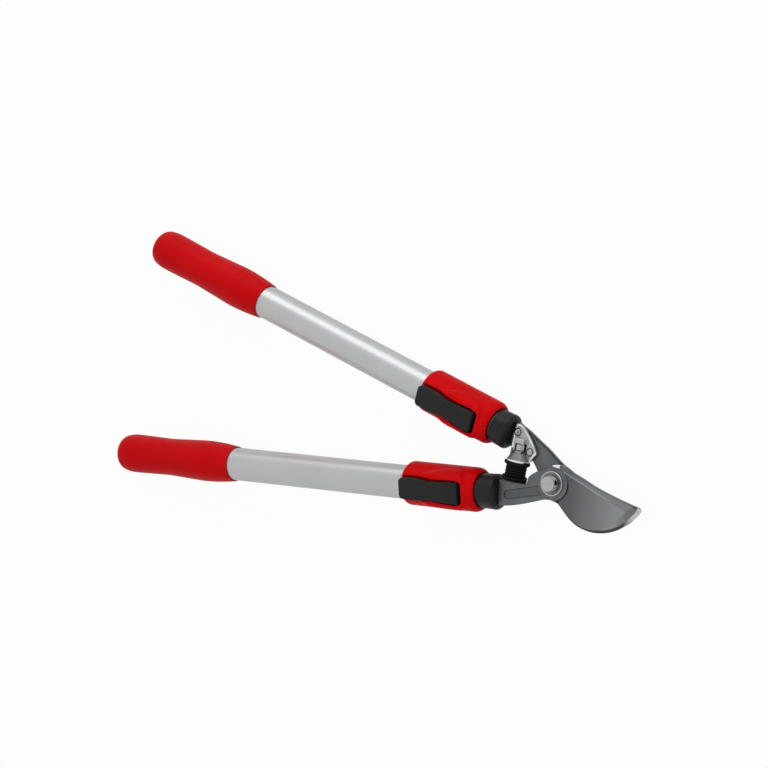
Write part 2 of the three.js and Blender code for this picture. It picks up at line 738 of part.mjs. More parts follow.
function leverPlan(play, nose = leverFront) {
  const half = leverHalf + play;
  const waist = leverWaistHalf + play;
  const corner = leverCorner;
  const tail = leverBack - play;
  const sides = waistShares.map(([along, deep]) => {
    return new THREE.Vector2(leverBack + leverLength * along, half + (waist - half) * deep);
  });
  const upper = smooth([
    new THREE.Vector2(tail + corner, half), ...sides, new THREE.Vector2(nose - corner, half),
  ]);
  const shape = new THREE.Shape();
  shape.moveTo(tail, -half + corner);
  shape.lineTo(tail, half - corner);
  shape.absarc(tail + corner, half - corner, corner, Math.PI, Math.PI / 2, true);
  upper.forEach((p) => shape.lineTo(p.x, p.y));
  shape.absarc(nose - corner, half - corner, corner, Math.PI / 2, 0, true);
  shape.absarc(nose - corner, -half + corner, corner, 0, -Math.PI / 2, true);
  upper.reverse().forEach((p) => shape.lineTo(p.x, -p.y));
  shape.absarc(tail + corner, -half + corner, corner, -Math.PI / 2, -Math.PI, true);
  return shape;
}

const saddleShare = 0.99; // the crown under the lever is levelled at this share of the collar's radius

function collar() {
  const body = join(collarShell(), cheeks());
  const outerHole = rodX(collarBack - overrun, outerTubeFront + gap, outerRadius + gap, roundSides);
  const innerHole = rodX(collarBack, collarFront + overrun, innerRadius + gap, roundSides);
  const pocketFront = pinX + noseSwing;
  const pocketBack = collarFront - cheekFront - cheekLength - overrun;
  const pocketHalfWidth = leverHalf + leverPlay;
  const pocket = block(pocketBack, pocketFront, -pocketHalfWidth, pocketHalfWidth, pocketFloor, leverTop);
  const pocketRound = keep(pocket, slab(leverPlan(leverPlay, pocketFront), 0, leverTop + overrun));
  const crown = collarRadius * saddleShare;
  const underLever = keep(
    slab(leverPlan(leverPlay), 0, leverTop + overrun),
    block(pocketBack, leverFront, -collarRadius, collarRadius, crown, leverTop + overrun),
  );
  const window = block(
    pinX - shoeBehindPin - gap, pinX + shoeAheadPin + gap, -shoeHalf - gap, shoeHalf + gap, 0, leverTop,
  );
  const pinReach = leverPinHalf() + gap;
  const pinHole = rodY(-pinReach, pinReach, leverPinRadius + gap).translate(pinX, 0, leverPinHeight);
  const notchHalf = leverHalf - leverCorner;
  const notchFront = collarBack + fingerNotch;
  const notch = block(collarBack - overrun, notchFront, -notchHalf, notchHalf, innerRadius, leverTop);
  const below = -collarRadius - overrun;
  const flat = block(collarBack, collarFront, -collarRadius, collarRadius, below, -collarRadius + restFlat);
  const along = collarBack + collarRivetInset;
  const rivetHole = rodZ(below, 0, collarRivetRadius + gap).translate(along, 0, 0);
  const rivetSeat = rodZ(below, collarRivetSeat(), collarRivetHead + gap).translate(along, 0, 0);
  return cut(
    body, outerHole, innerHole, pocketRound, underLever, window, pinHole, notch,
    flat.rotateX(-roll), rivetHole, rivetSeat,
  );
}

function collarRivetSeat() {
  return -(outerRadius + collarRadius) / 2;
}

function collarRivet() {
  const headTop = collarRivetSeat() - gap;
  const headBottom = -collarRadius + collarRivetSink;
  const along = collarBack + collarRivetInset;
  const end = -outerBore - gap;
  return turned([
    [headBottom, 0], [headBottom, collarRivetHead * rivetTailShare],
    [(headBottom + headTop) / 2, collarRivetHead], [headTop, collarRivetHead],
    [headTop, collarRivetRadius], [end, collarRivetRadius], [end, 0],
  ], pinSides).rotateY(-Math.PI / 2).translate(along, 0, 0);
}

// The lever: flat on top, hollow underneath to sit over the collar, with a cam lobe round its pin
function lockLever() {
  const inset = leverTopRound;
  const foot = camRadius + camThrow;
  const lower = slab(leverPlan(0), 0, leverTop - inset);
  const upper = slab(leverPlan(-inset / 2, leverFront - inset / 2), leverTop - inset * 2, leverTop);
  const saddle = rodX(leverBack - overrun, leverFront + overrun, collarRadius + gap, roundSides);
  const sides = block(
    leverBack - overrun, leverFront + overrun, -outerRadius, outerRadius, 0, leverPinHeight - foot,
  );
  const noseHalf = leverHalf - gap;
  const nose = block(pinX - foot, leverFront, -noseHalf, noseHalf, leverPinHeight, leverTop - inset);
  const hub = rodY(-noseHalf, noseHalf, camRadius).translate(pinX, 0, leverPinHeight);
  const cam = rodY(-camHalf, camHalf, camRadius).translate(pinX, 0, leverPinHeight - camThrow);
  const hollow = cut(join(lower, upper), saddle, sides);
  const underNose = block(
    pinX - foot, leverFront + overrun, -outerRadius, outerRadius, 0, leverPinHeight,
  );
  const whole = join(cut(hollow, underNose), nose, hub, cam);
  return cut(whole, rodY(-outerRadius, outerRadius, leverPinRadius + gap).translate(pinX, 0, leverPinHeight));
}

function leverPinHalf() {
  const slope = (cheekFootHalf - cheekTopHalf) / (cheekTop - cheekFoot);
  return cheekTopHalf + (cheekTop - leverPinHeight) * slope - leverPinSink;
}

function leverPin() {
  return rodY(-leverPinHalf(), leverPinHalf(), leverPinRadius).translate(pinX, 0, leverPinHeight);
}

function clampShoe() {
  const back = pinX - shoeBehindPin;
  const front = pinX + shoeAheadPin;
  const bar = block(back, front, -shoeHalf, shoeHalf, 0, shoeTop);
  return cut(bar, rodX(back - overrun, front + overrun, innerRadius + gap, roundSides));
}

// Assembly
function piece(name, geometry, material) {
  const mesh = new THREE.Mesh(geometry, material);
  mesh.name = name;
  return mesh;
}

function at(mesh, x, y, z) {
  mesh.position.set(x, y, z);
  return mesh;
}

function handle(side, word, plateLow, plateHigh) {
  const group = new THREE.Group();
  group.position.copy(new THREE.Vector3(...onHandle(side, 0, 0).toArray(), 0));
  group.rotation.z = -side * halfSpread;
  group.add(piece(`${word}_ferrule`, ferrule(plateLow, plateHigh), blackPlastic));
  group.add(piece(`${word}_inner_tube`, innerTube(), anodised));
  rivetPlaces().forEach((along, i) => {
    group.add(at(piece(`${word}_tang_rivet_${i + 1}`, tangRivet(), plated), along, 0, 0));
  });
  group.add(piece(`${word}_guide_bush`, guideBush(), blackPlastic));
  group.add(piece(`${word}_outer_tube`, outerTube(), anodised));
  group.add(piece(`${word}_end_plug`, endPlug(), blackPlastic));
  group.add(piece(`${word}_grip`, grip(), redGrip));
  const clamp = new THREE.Group();
  clamp.rotation.x = roll;
  clamp.add(piece(`${word}_collar`, collar(), redShell));
  clamp.add(piece(`${word}_collar_rivet`, collarRivet(), plated));
  clamp.add(piece(`${word}_lever`, lockLever(), charcoal));
  clamp.add(piece(`${word}_lever_pin`, leverPin(), plated));
  clamp.add(piece(`${word}_clamp_shoe`, clampShoe(), plated));
  group.add(clamp);
  return group;
}

function head() {
  const group = new THREE.Group();
  group.add(piece('blade_arm', bladeArm(), forgedSteel));
  group.add(piece('hook_arm', hookArm(), hookSteel));
  group.add(piece('pivot_bolt', pivotBolt(), plated));
  group.add(piece('pivot_washer', pivotWasher(), plated));
  group.add(piece('back_washer', backWasher(), plated));
  group.add(piece('pivot_nut', pivotNut(), plated));
  group.add(piece('bumper_bracket', bumperBracket(), dieCast));
  bracketRivetPlaces().forEach(([x, y], i) => {
    group.add(at(piece(`bracket_rivet_${i + 1}`, bracketRivet(), plated), x, y, 0));
  });
  group.add(piece('bumper_bolt', bumperBolt(), plated));
  group.add(piece('bumper', bumper(), blackRubber));
  group.add(piece('strike_pad', strikePad(), blackPlastic));
  return group;
}

const lopper = new THREE.Group();
lopper.position.z = -pivotFace;
lopper.add(head());
lopper.add(handle(lowerSide, 'lower', bladeBottom, bladeTop));
lopper.add(handle(upperSide, 'upper', hookBottom, hookTop));

const model = new THREE.Group();
model.add(lopper);

export default model;
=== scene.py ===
import json
from math import atan, cos, pi, radians, sin, tan

import bmesh
import bpy
from mathutils import Matrix, Vector


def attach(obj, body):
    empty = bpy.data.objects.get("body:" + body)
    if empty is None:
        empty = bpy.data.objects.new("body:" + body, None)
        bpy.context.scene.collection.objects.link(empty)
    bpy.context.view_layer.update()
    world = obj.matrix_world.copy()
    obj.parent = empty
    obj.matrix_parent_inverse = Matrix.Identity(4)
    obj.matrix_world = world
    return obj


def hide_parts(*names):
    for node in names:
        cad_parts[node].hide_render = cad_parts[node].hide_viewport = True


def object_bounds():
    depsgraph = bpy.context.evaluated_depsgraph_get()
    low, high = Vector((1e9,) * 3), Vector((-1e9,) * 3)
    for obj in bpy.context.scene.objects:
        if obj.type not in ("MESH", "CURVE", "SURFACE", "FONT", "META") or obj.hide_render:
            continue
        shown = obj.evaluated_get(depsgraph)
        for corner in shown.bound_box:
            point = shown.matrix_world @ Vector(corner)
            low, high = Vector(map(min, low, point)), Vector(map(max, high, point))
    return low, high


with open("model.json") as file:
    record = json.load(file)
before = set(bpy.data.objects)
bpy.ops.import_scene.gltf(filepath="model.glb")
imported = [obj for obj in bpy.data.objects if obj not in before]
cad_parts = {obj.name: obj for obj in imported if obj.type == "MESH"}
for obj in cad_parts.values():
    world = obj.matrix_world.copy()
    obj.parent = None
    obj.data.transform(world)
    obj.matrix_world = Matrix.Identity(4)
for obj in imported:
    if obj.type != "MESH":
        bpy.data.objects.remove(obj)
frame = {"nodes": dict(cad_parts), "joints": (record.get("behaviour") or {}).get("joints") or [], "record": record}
cadBox = [list(corner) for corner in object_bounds()]
nodes = frame["nodes"]
print("frame loaded:", len(nodes), "solids")


# Where things are
layout = {
    "unit": 0.001,  # all modelling below is in millimetres
    "spread": 20.2,  # degrees between the closed handles
    "offset": {"lower": -13.3, "upper": 22.8},  # pivot to each handle's axis
    "side": {"lower": -1, "upper": 1},
    "roll": 9,  # degrees, collar and lever turned about their handle
    "headReach": 56.9,  # pivot to the ferrules
    "rampScale": 10,  # colour ramps over the blade run from the pivot to 0.1 m before it
}
joints = {joint["name"]: joint for joint in frame["joints"]}
bodies = frame["record"]["behaviour"]["bodies"]
bodyOf = {node: body for body, members in bodies.items() for node in members}
headFrame = Matrix.Translation((0, 0, joints["pivot"]["pos_m"][2])) @ Matrix.Scale(layout["unit"], 4)


def handleAngle(word):
    return radians(-layout["side"][word] * layout["spread"] / 2)


def handleFrame(word, roll=0):  # along the handle is X, towards the blade
    turned = headFrame @ Matrix.Rotation(handleAngle(word), 4, "Z")
    return turned @ Matrix.Translation((0, layout["offset"][word], 0)) @ Matrix.Rotation(radians(roll), 4, "X")


def onHandle(word, along, across):
    return Matrix.Rotation(handleAngle(word), 2) @ Vector((along, across + layout["offset"][word]))


def localBox(node, matrix):  # a solid's box in a frame of its own, in millimetres
    back = matrix.inverted()
    places = [back @ vertex.co for vertex in nodes[node].data.vertices]
    low = Vector(min(place[i] for place in places) for i in range(3))
    high = Vector(max(place[i] for place in places) for i in range(3))
    return low, high


# Outlines
def scaled(shares, width, height):
    return [Vector((x * width, y * height)) for x, y in shares]


def splinePoints(points, steps=6):  # a smooth line through the points
    points = [Vector(point) for point in points]
    line = []
    for i in range(len(points) - 1):
        p0, p1 = points[max(i - 1, 0)], points[i]
        p2, p3 = points[i + 1], points[min(i + 2, len(points) - 1)]
        for k in range(steps):
            t = k / steps
            bend = (2 * p0 - 5 * p1 + 4 * p2 - p3) * t * t + (3 * p1 - p0 - 3 * p2 + p3) * t ** 3
            line.append((2 * p1 + (p2 - p0) * t + bend) / 2)
    return line + [points[-1]]


def smooth(shares, width, height, steps=6):
    return splinePoints(scaled(shares, width, height), steps)


def arcPoints(x, y, radius, start, end, steps=6):
    turns = [radians(start + (end - start) * k / steps) for k in range(steps + 1)]
    return [Vector((x + radius * cos(turn), y + radius * sin(turn))) for turn in turns]


def filleted(corners, steps=5):  # corners are x, y and the radius of a rounded one
    line = []
    for i, corner in enumerate(corners):
        point = Vector(corner[:2])
        if len(corner) < 3:
            line.append(point)
            continue
        before = (Vector(corners[i - 1][:2]) - point).normalized()
        after = (Vector(corners[(i + 1) % len(corners)][:2]) - point).normalized()
        half = before.angle(after) / 2
        middle = point + (before + after).normalized() * corner[2] / sin(half)
        start = point + before * corner[2] / tan(half) - middle
        end = point + after * corner[2] / tan(half) - middle
        line += [middle + start.slerp(end, k / steps) * corner[2] for k in range(steps + 1)]
    return line


def behind(end, points):  # profile points given by their distance behind an end
    return [(end - point[0], *point[1:]) for point in points]


def divided(points, reach):  # no stretch longer than reach
    line = [Vector(points[0])]
    for point in points[1:]:
        start, end = line[-1], Vector(point)
        parts = int((end - start).length / reach) + 1
        line += [start.lerp(end, k / parts) for k in range(1, parts + 1)]
    return line


# Mesh tools
turnTo = {
    "X": Matrix.Identity(4),
    "Y": Matrix.Rotation(pi / 2, 4, "Z"),
    "Z": Matrix.Rotation(-pi / 2, 4, "Y"),
}
alongX = Matrix(((0, 0, 1, 0), (1, 0, 0, 0), (0, 1, 0, 0), (0, 0, 0, 1)))  # turns a plate's thickness to X


def moved(bm, matrix):
    bmesh.ops.transform(bm, matrix=matrix, verts=bm.verts)
    return bm


def shifted(bm, x=0, y=0, z=0):
    return moved(bm, Matrix.Translation((x, y, z)))


def lathe(profile, direction="X", steps=96, ring=False):  # profile is place along the axis and radius
    bm = bmesh.new()
    line = [bm.verts.new((x, 0, radius)) for x, radius in profile]
    for first, second in zip(line, line[1:] + line[:1] if ring else line[1:]):
        bm.edges.new((first, second))
    bmesh.ops.spin(bm, geom=bm.verts[:] + bm.edges[:], cent=(0, 0, 0), axis=(1, 0, 0), angle=2 * pi,
                   steps=steps, use_merge=True)
    bmesh.ops.remove_doubles(bm, verts=bm.verts, dist=0.0005)
    bmesh.ops.recalc_face_normals(bm, faces=bm.faces)
    return moved(bm, turnTo[direction])


def rod(start, end, radius, direction="X", rim=0.0, steps=48):
    if rim:
        return lathe(filleted([(start, 0), (start, radius, rim), (end, radius, rim), (end, 0)]), direction, steps)
    return lathe([(start, 0), (start, radius), (end, radius), (end, 0)], direction, steps)


def ringRod(start, end, bore, radius, direction="X", rim=0.2, steps=96):
    corners = [(start, bore), (start, radius), (end, radius), (end, bore)]
    profile = filleted([(*corner, rim) for corner in corners], 3)
    return lathe(profile, direction, steps, ring=True)


def plate(outline, low, high, rim=0.0, segments=3, rounds=None):  # rounds says which rim edges are rounded
    bm = bmesh.new()
    face = bm.faces.new([bm.verts.new((x, y, low)) for x, y in outline])
    raised = bmesh.ops.extrude_face_region(bm, geom=[face], use_keep_orig=True)["geom"]
    corners = [v for v in raised if isinstance(v, bmesh.types.BMVert)]
    bmesh.ops.translate(bm, vec=(0, 0, high - low), verts=corners)
    bmesh.ops.recalc_face_normals(bm, faces=bm.faces)
    if rim:
        level = [e for e in bm.edges if abs(e.verts[0].co.z - e.verts[1].co.z) < 1e-6]
        chosen = [e for e in level if rounds is None or rounds((e.verts[0].co + e.verts[1].co) / 2)]
        bmesh.ops.bevel(bm, geom=chosen, offset=rim, segments=segments, profile=0.5, affect="EDGES",
                        material=-1, clamp_overlap=True)
    return bm


def block(low, high, rim=0.0):
    bm = bmesh.new()
    bmesh.ops.create_cube(bm, size=1)
    low, high = Vector(low), Vector(high)
    size = high - low
    moved(bm, Matrix.Translation((low + high) / 2) @ Matrix.Diagonal((*size, 1)))
    if rim:
        bmesh.ops.bevel(bm, geom=bm.edges[:], offset=rim, segments=3, profile=0.5, affect="EDGES",
                        material=-1)
    return bm


def looseObject(bm, name="loose"):
    mesh = bpy.data.meshes.new(name)
    bm.to_mesh(mesh)
    bm.free()
    loose = bpy.data.objects.new(name, mesh)
    bpy.context.scene.collection.objects.link(loose)
    return loose


def settled(loose, *others):  # the object's mesh with its modifiers applied, as a bmesh
    shown = loose.evaluated_get(bpy.context.evaluated_depsgraph_get())
    mesh = bpy.data.meshes.new_from_object(shown)
    bm = bmesh.new()
    bm.from_mesh(mesh)
    for item in (loose, *others):
        data = item.data
        bpy.data.objects.remove(item)
        bpy.data.meshes.remove(data)
    bpy.data.meshes.remove(mesh)
    return bm


def combined(bm, operation, others):
    base = looseObject(bm)
    tools = [looseObject(other) for other in others]
    for tool in tools:
        modifier = base.modifiers.new("combine", "BOOLEAN")
        modifier.operation = operation
        modifier.solver = "EXACT"
        modifier.object = tool
    return settled(base, *tools)


def cut(bm, *others):
    return combined(bm, "DIFFERENCE", others)


def joined(bm, *others):
    return combined(bm, "UNION", others)


def common(bm, *others):
    return combined(bm, "INTERSECT", others)


def remeshed(bm, voxel, passes):  # one closed skin with softly rounded edges
    loose = looseObject(bm)
    remesh = loose.modifiers.new("remesh", "REMESH")
    remesh.mode = "VOXEL"
    remesh.voxel_size = voxel
    smooth = loose.modifiers.new("smooth", "SMOOTH")
    smooth.factor = 0.5
    smooth.iterations = passes
    return settled(loose)


def addPiece(name, bm, matrix, standsFor, finishes, sharp=32):
    moved(bm, matrix)
    mesh = bpy.data.meshes.new(name)
    bm.to_mesh(mesh)
    bm.free()
    mesh.shade_smooth()
    mesh.set_sharp_from_angle(angle=radians(sharp))
    for finish in finishes if isinstance(finishes, list) else [finishes]:
        mesh.materials.append(finish)
    piece = bpy.data.objects.new(name, mesh)
    bpy.context.scene.collection.objects.link(piece)
    weighted = piece.modifiers.new("weighted", "WEIGHTED_NORMAL")
    weighted.keep_sharp = True
    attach(piece, bodyOf[standsFor[0]])
    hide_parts(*standsFor)
    return piece


# Shader tools
class Wire:  # a socket that takes part in sums
    def __init__(self, graph, socket):
        self.graph, self.socket = graph, socket

    def sum(self, operation, first, second):
        return self.graph.node("ShaderNodeMath", {"operation": operation}, {0: first, 1: second})

    def __add__(self, other):
        return self.sum("ADD", self, other)

    def __radd__(self, other):
        return self.sum("ADD", other, self)

    def __sub__(self, other):
        return self.sum("SUBTRACT", self, other)

    def __rsub__(self, other):
        return self.sum("SUBTRACT", other, self)

    def __mul__(self, other):
        return self.sum("MULTIPLY", self, other)

    def __rmul__(self, other):
        return self.sum("MULTIPLY", other, self)


class Graph:  # one material's nodes
    def __init__(self, material):
        material.use_nodes = True
        self.tree = material.node_tree
        self.tree.nodes.clear()

    def node(self, kind, settings=None, inputs=None, output=0):
        made = self.tree.nodes.new(kind)
        for name, value in (settings or {}).items():
            if name != "stops":
                setattr(made, name, value)
                continue
            ramp = made.color_ramp
            for place, _ in value[2:]:
                ramp.elements.new(place)
            for stop, (place, level) in zip(ramp.elements, value):
                stop.position = place
                stop.color = (level, level, level, 1)
        for name, value in (inputs or {}).items():
            if isinstance(value, Wire):
                self.tree.links.new(value.socket, made.inputs[name])
            else:
                made.inputs[name].default_value = value
        return Wire(self, made.outputs[output]) if made.outputs else None

    def places(self, stretch=(1, 1, 1), turn=0.0):  # object coordinates, turned to run along a handle
        coords = self.node("ShaderNodeTexCoord", output="Object")
        turned = self.node("ShaderNodeMapping", {}, {"Vector": coords, "Rotation": (0, 0, -turn)})
        return self.node("ShaderNodeMapping", {}, {"Vector": turned, "Scale": stretch})

    def noise(self, places, scale, detail=3.0, roughness=0.5):
        inputs = {"Vector": places, "Scale": scale, "Detail": detail, "Roughness": roughness}
        return self.node("ShaderNodeTexNoise", {}, inputs)

    def line(self, shape):  # 1 along a straight line over the surface, falling to 0 beside it, the mask of a painted highlight line
        coords = self.places()
        x = self.node("ShaderNodeSeparateXYZ", {}, {"Vector": coords}, "X")
        y = self.node("ShaderNodeSeparateXYZ", {}, {"Vector": coords}, "Y")
        aside = (y - shape["y"]) - (x - shape["x"]) * shape["slope"]
        near = self.node("ShaderNodeMath", {"operation": "ABSOLUTE"}, {0: aside * (0.25 / shape["width"])})
        ends = self.steps(x * layout["rampScale"], *shape["ends"])
        return self.steps(near, (0.1, 1), (0.25, 0)) * ends * shape["share"]

    def steps(self, value, *stops):
        return self.node("ShaderNodeValToRGB", {"stops": stops}, {"Fac": value})

    def mixed(self, share, first, second):
        return self.node("ShaderNodeMix", {"data_type": "RGBA"}, {0: share, 6: first, 7: second}, 2)

    def paintedCreaseShade(self, look, paint):  # painted shade: darker by ambient occlusion in grooves, steps and gaps
        if "creaseShadeReach" not in look:
            return paint
        bare = self.node("ShaderNodeAmbientOcclusion", {"samples": 8}, {"Distance": look["creaseShadeReach"]}, "AO")
        full, none = look.get("creaseShadeRamp", (0.45, 0.85))
        return self.mixed(self.steps(bare, (full, 1), (none, 0)), paint, colour(look, "deep"))

    def bump(self, height):  # the height is in millimetres
        return self.node("ShaderNodeBump", {}, {"Height": height, "Distance": layout["unit"], "Strength": 1.0})

    def finish(self, inputs):
        surface = self.node("ShaderNodeBsdfPrincipled", {}, inputs)
        self.node("ShaderNodeOutputMaterial", {}, {"Surface": surface})


def colour(look, name):
    return (*look[name], 1)


def metalFinish(name, look, turn=0.0):  # grain along X, cloudy patches, small pits and rubbed edges, with painted tip tones, a painted highlight line and painted crease shade where the look asks for them
    material = bpy.data.materials.new(name)
    graph = Graph(material)
    grain = graph.noise(graph.places(look["stretch"], turn), look["grain"], 4.0, 0.6)
    patches = graph.noise(graph.places((1, 1, 1), turn), look["patch"], 3.0)
    pits = graph.noise(graph.places((1, 1, 1), turn), look["pit"], 2.0)
    pitted = graph.steps(pits, (0.3, 1), (0.42, 0))
    shade = graph.steps(grain * 0.55 + patches * 0.45, (0.35, 0), (0.65, 1))
    paint = graph.mixed(shade, colour(look, "dark"), colour(look, "light"))
    paint = graph.mixed(pitted * look["pitShade"], paint, colour(look, "dark"))
    if "edge" in look:
        ridge = graph.node("ShaderNodeNewGeometry", output="Pointiness")
        worn = graph.steps(ridge, (0.52, 0), (0.6, 1)) * look["edgeShare"]
        paint = graph.mixed(worn, paint, colour(look, "edge"))
    if "paintedTipShade" in look:  # painted reflection: a lighter or darker tone towards the blade's tip
        spread = graph.node("ShaderNodeSeparateXYZ", {}, {"Vector": graph.places()})
        start, end = look["paintedTipRun"]
        along = graph.steps(spread * layout["rampScale"], (start, 0), (end, 1))
        paint = graph.mixed(along, paint, colour(look, "paintedTipShade"))
    # a painted highlight along the grind line
    if "line" in look:
        paint = graph.mixed(graph.line(look["line"]), paint, colour(look["line"], "paint"))
    paint = graph.paintedCreaseShade(look, paint)
    rough = look["rough"] + (grain - 0.5) * look["roughGrain"] + (patches - 0.5) * look["roughPatch"]
    height = grain * look["grainHeight"] - pitted * look["pitHeight"]
    graph.finish({
        "Base Color": paint, "Roughness": rough, "Metallic": look["metallic"],
        "Normal": graph.bump(height),
    })
    return material


def mouldedFinish(name, look, turn=0.0):  # fine mould grain, faint flow clouds, handling marks
    material = bpy.data.materials.new(name)
    graph = Graph(material)
    grain = graph.noise(graph.places(), look["grain"], 2.0)
    clouds = graph.noise(graph.places((0.5, 1, 1), turn), look["cloud"], 3.0)
    marks = graph.noise(graph.places((6, 1, 1), turn + 0.6), look["mark"], 5.0, 0.7)
    scuffs = graph.steps(marks, (0.6, 0), (0.72, 1)) * look["scuff"]
    paint = graph.mixed(graph.steps(clouds, (0.3, 0), (0.7, 1)), colour(look, "dark"), colour(look, "light"))
    paint = graph.paintedCreaseShade(look, graph.mixed(scuffs * 0.35, paint, colour(look, "rubbed")))
    rough = look["rough"] + (grain - 0.5) * look["roughGrain"] + scuffs * 0.3
    graph.finish({
        "Base Color": paint, "Roughness": rough, "Metallic": 0.0, "Specular IOR Level": look["gloss"],
        "Normal": graph.bump(grain * look["grainHeight"] + clouds * look["cloudHeight"]),
    })
    return material


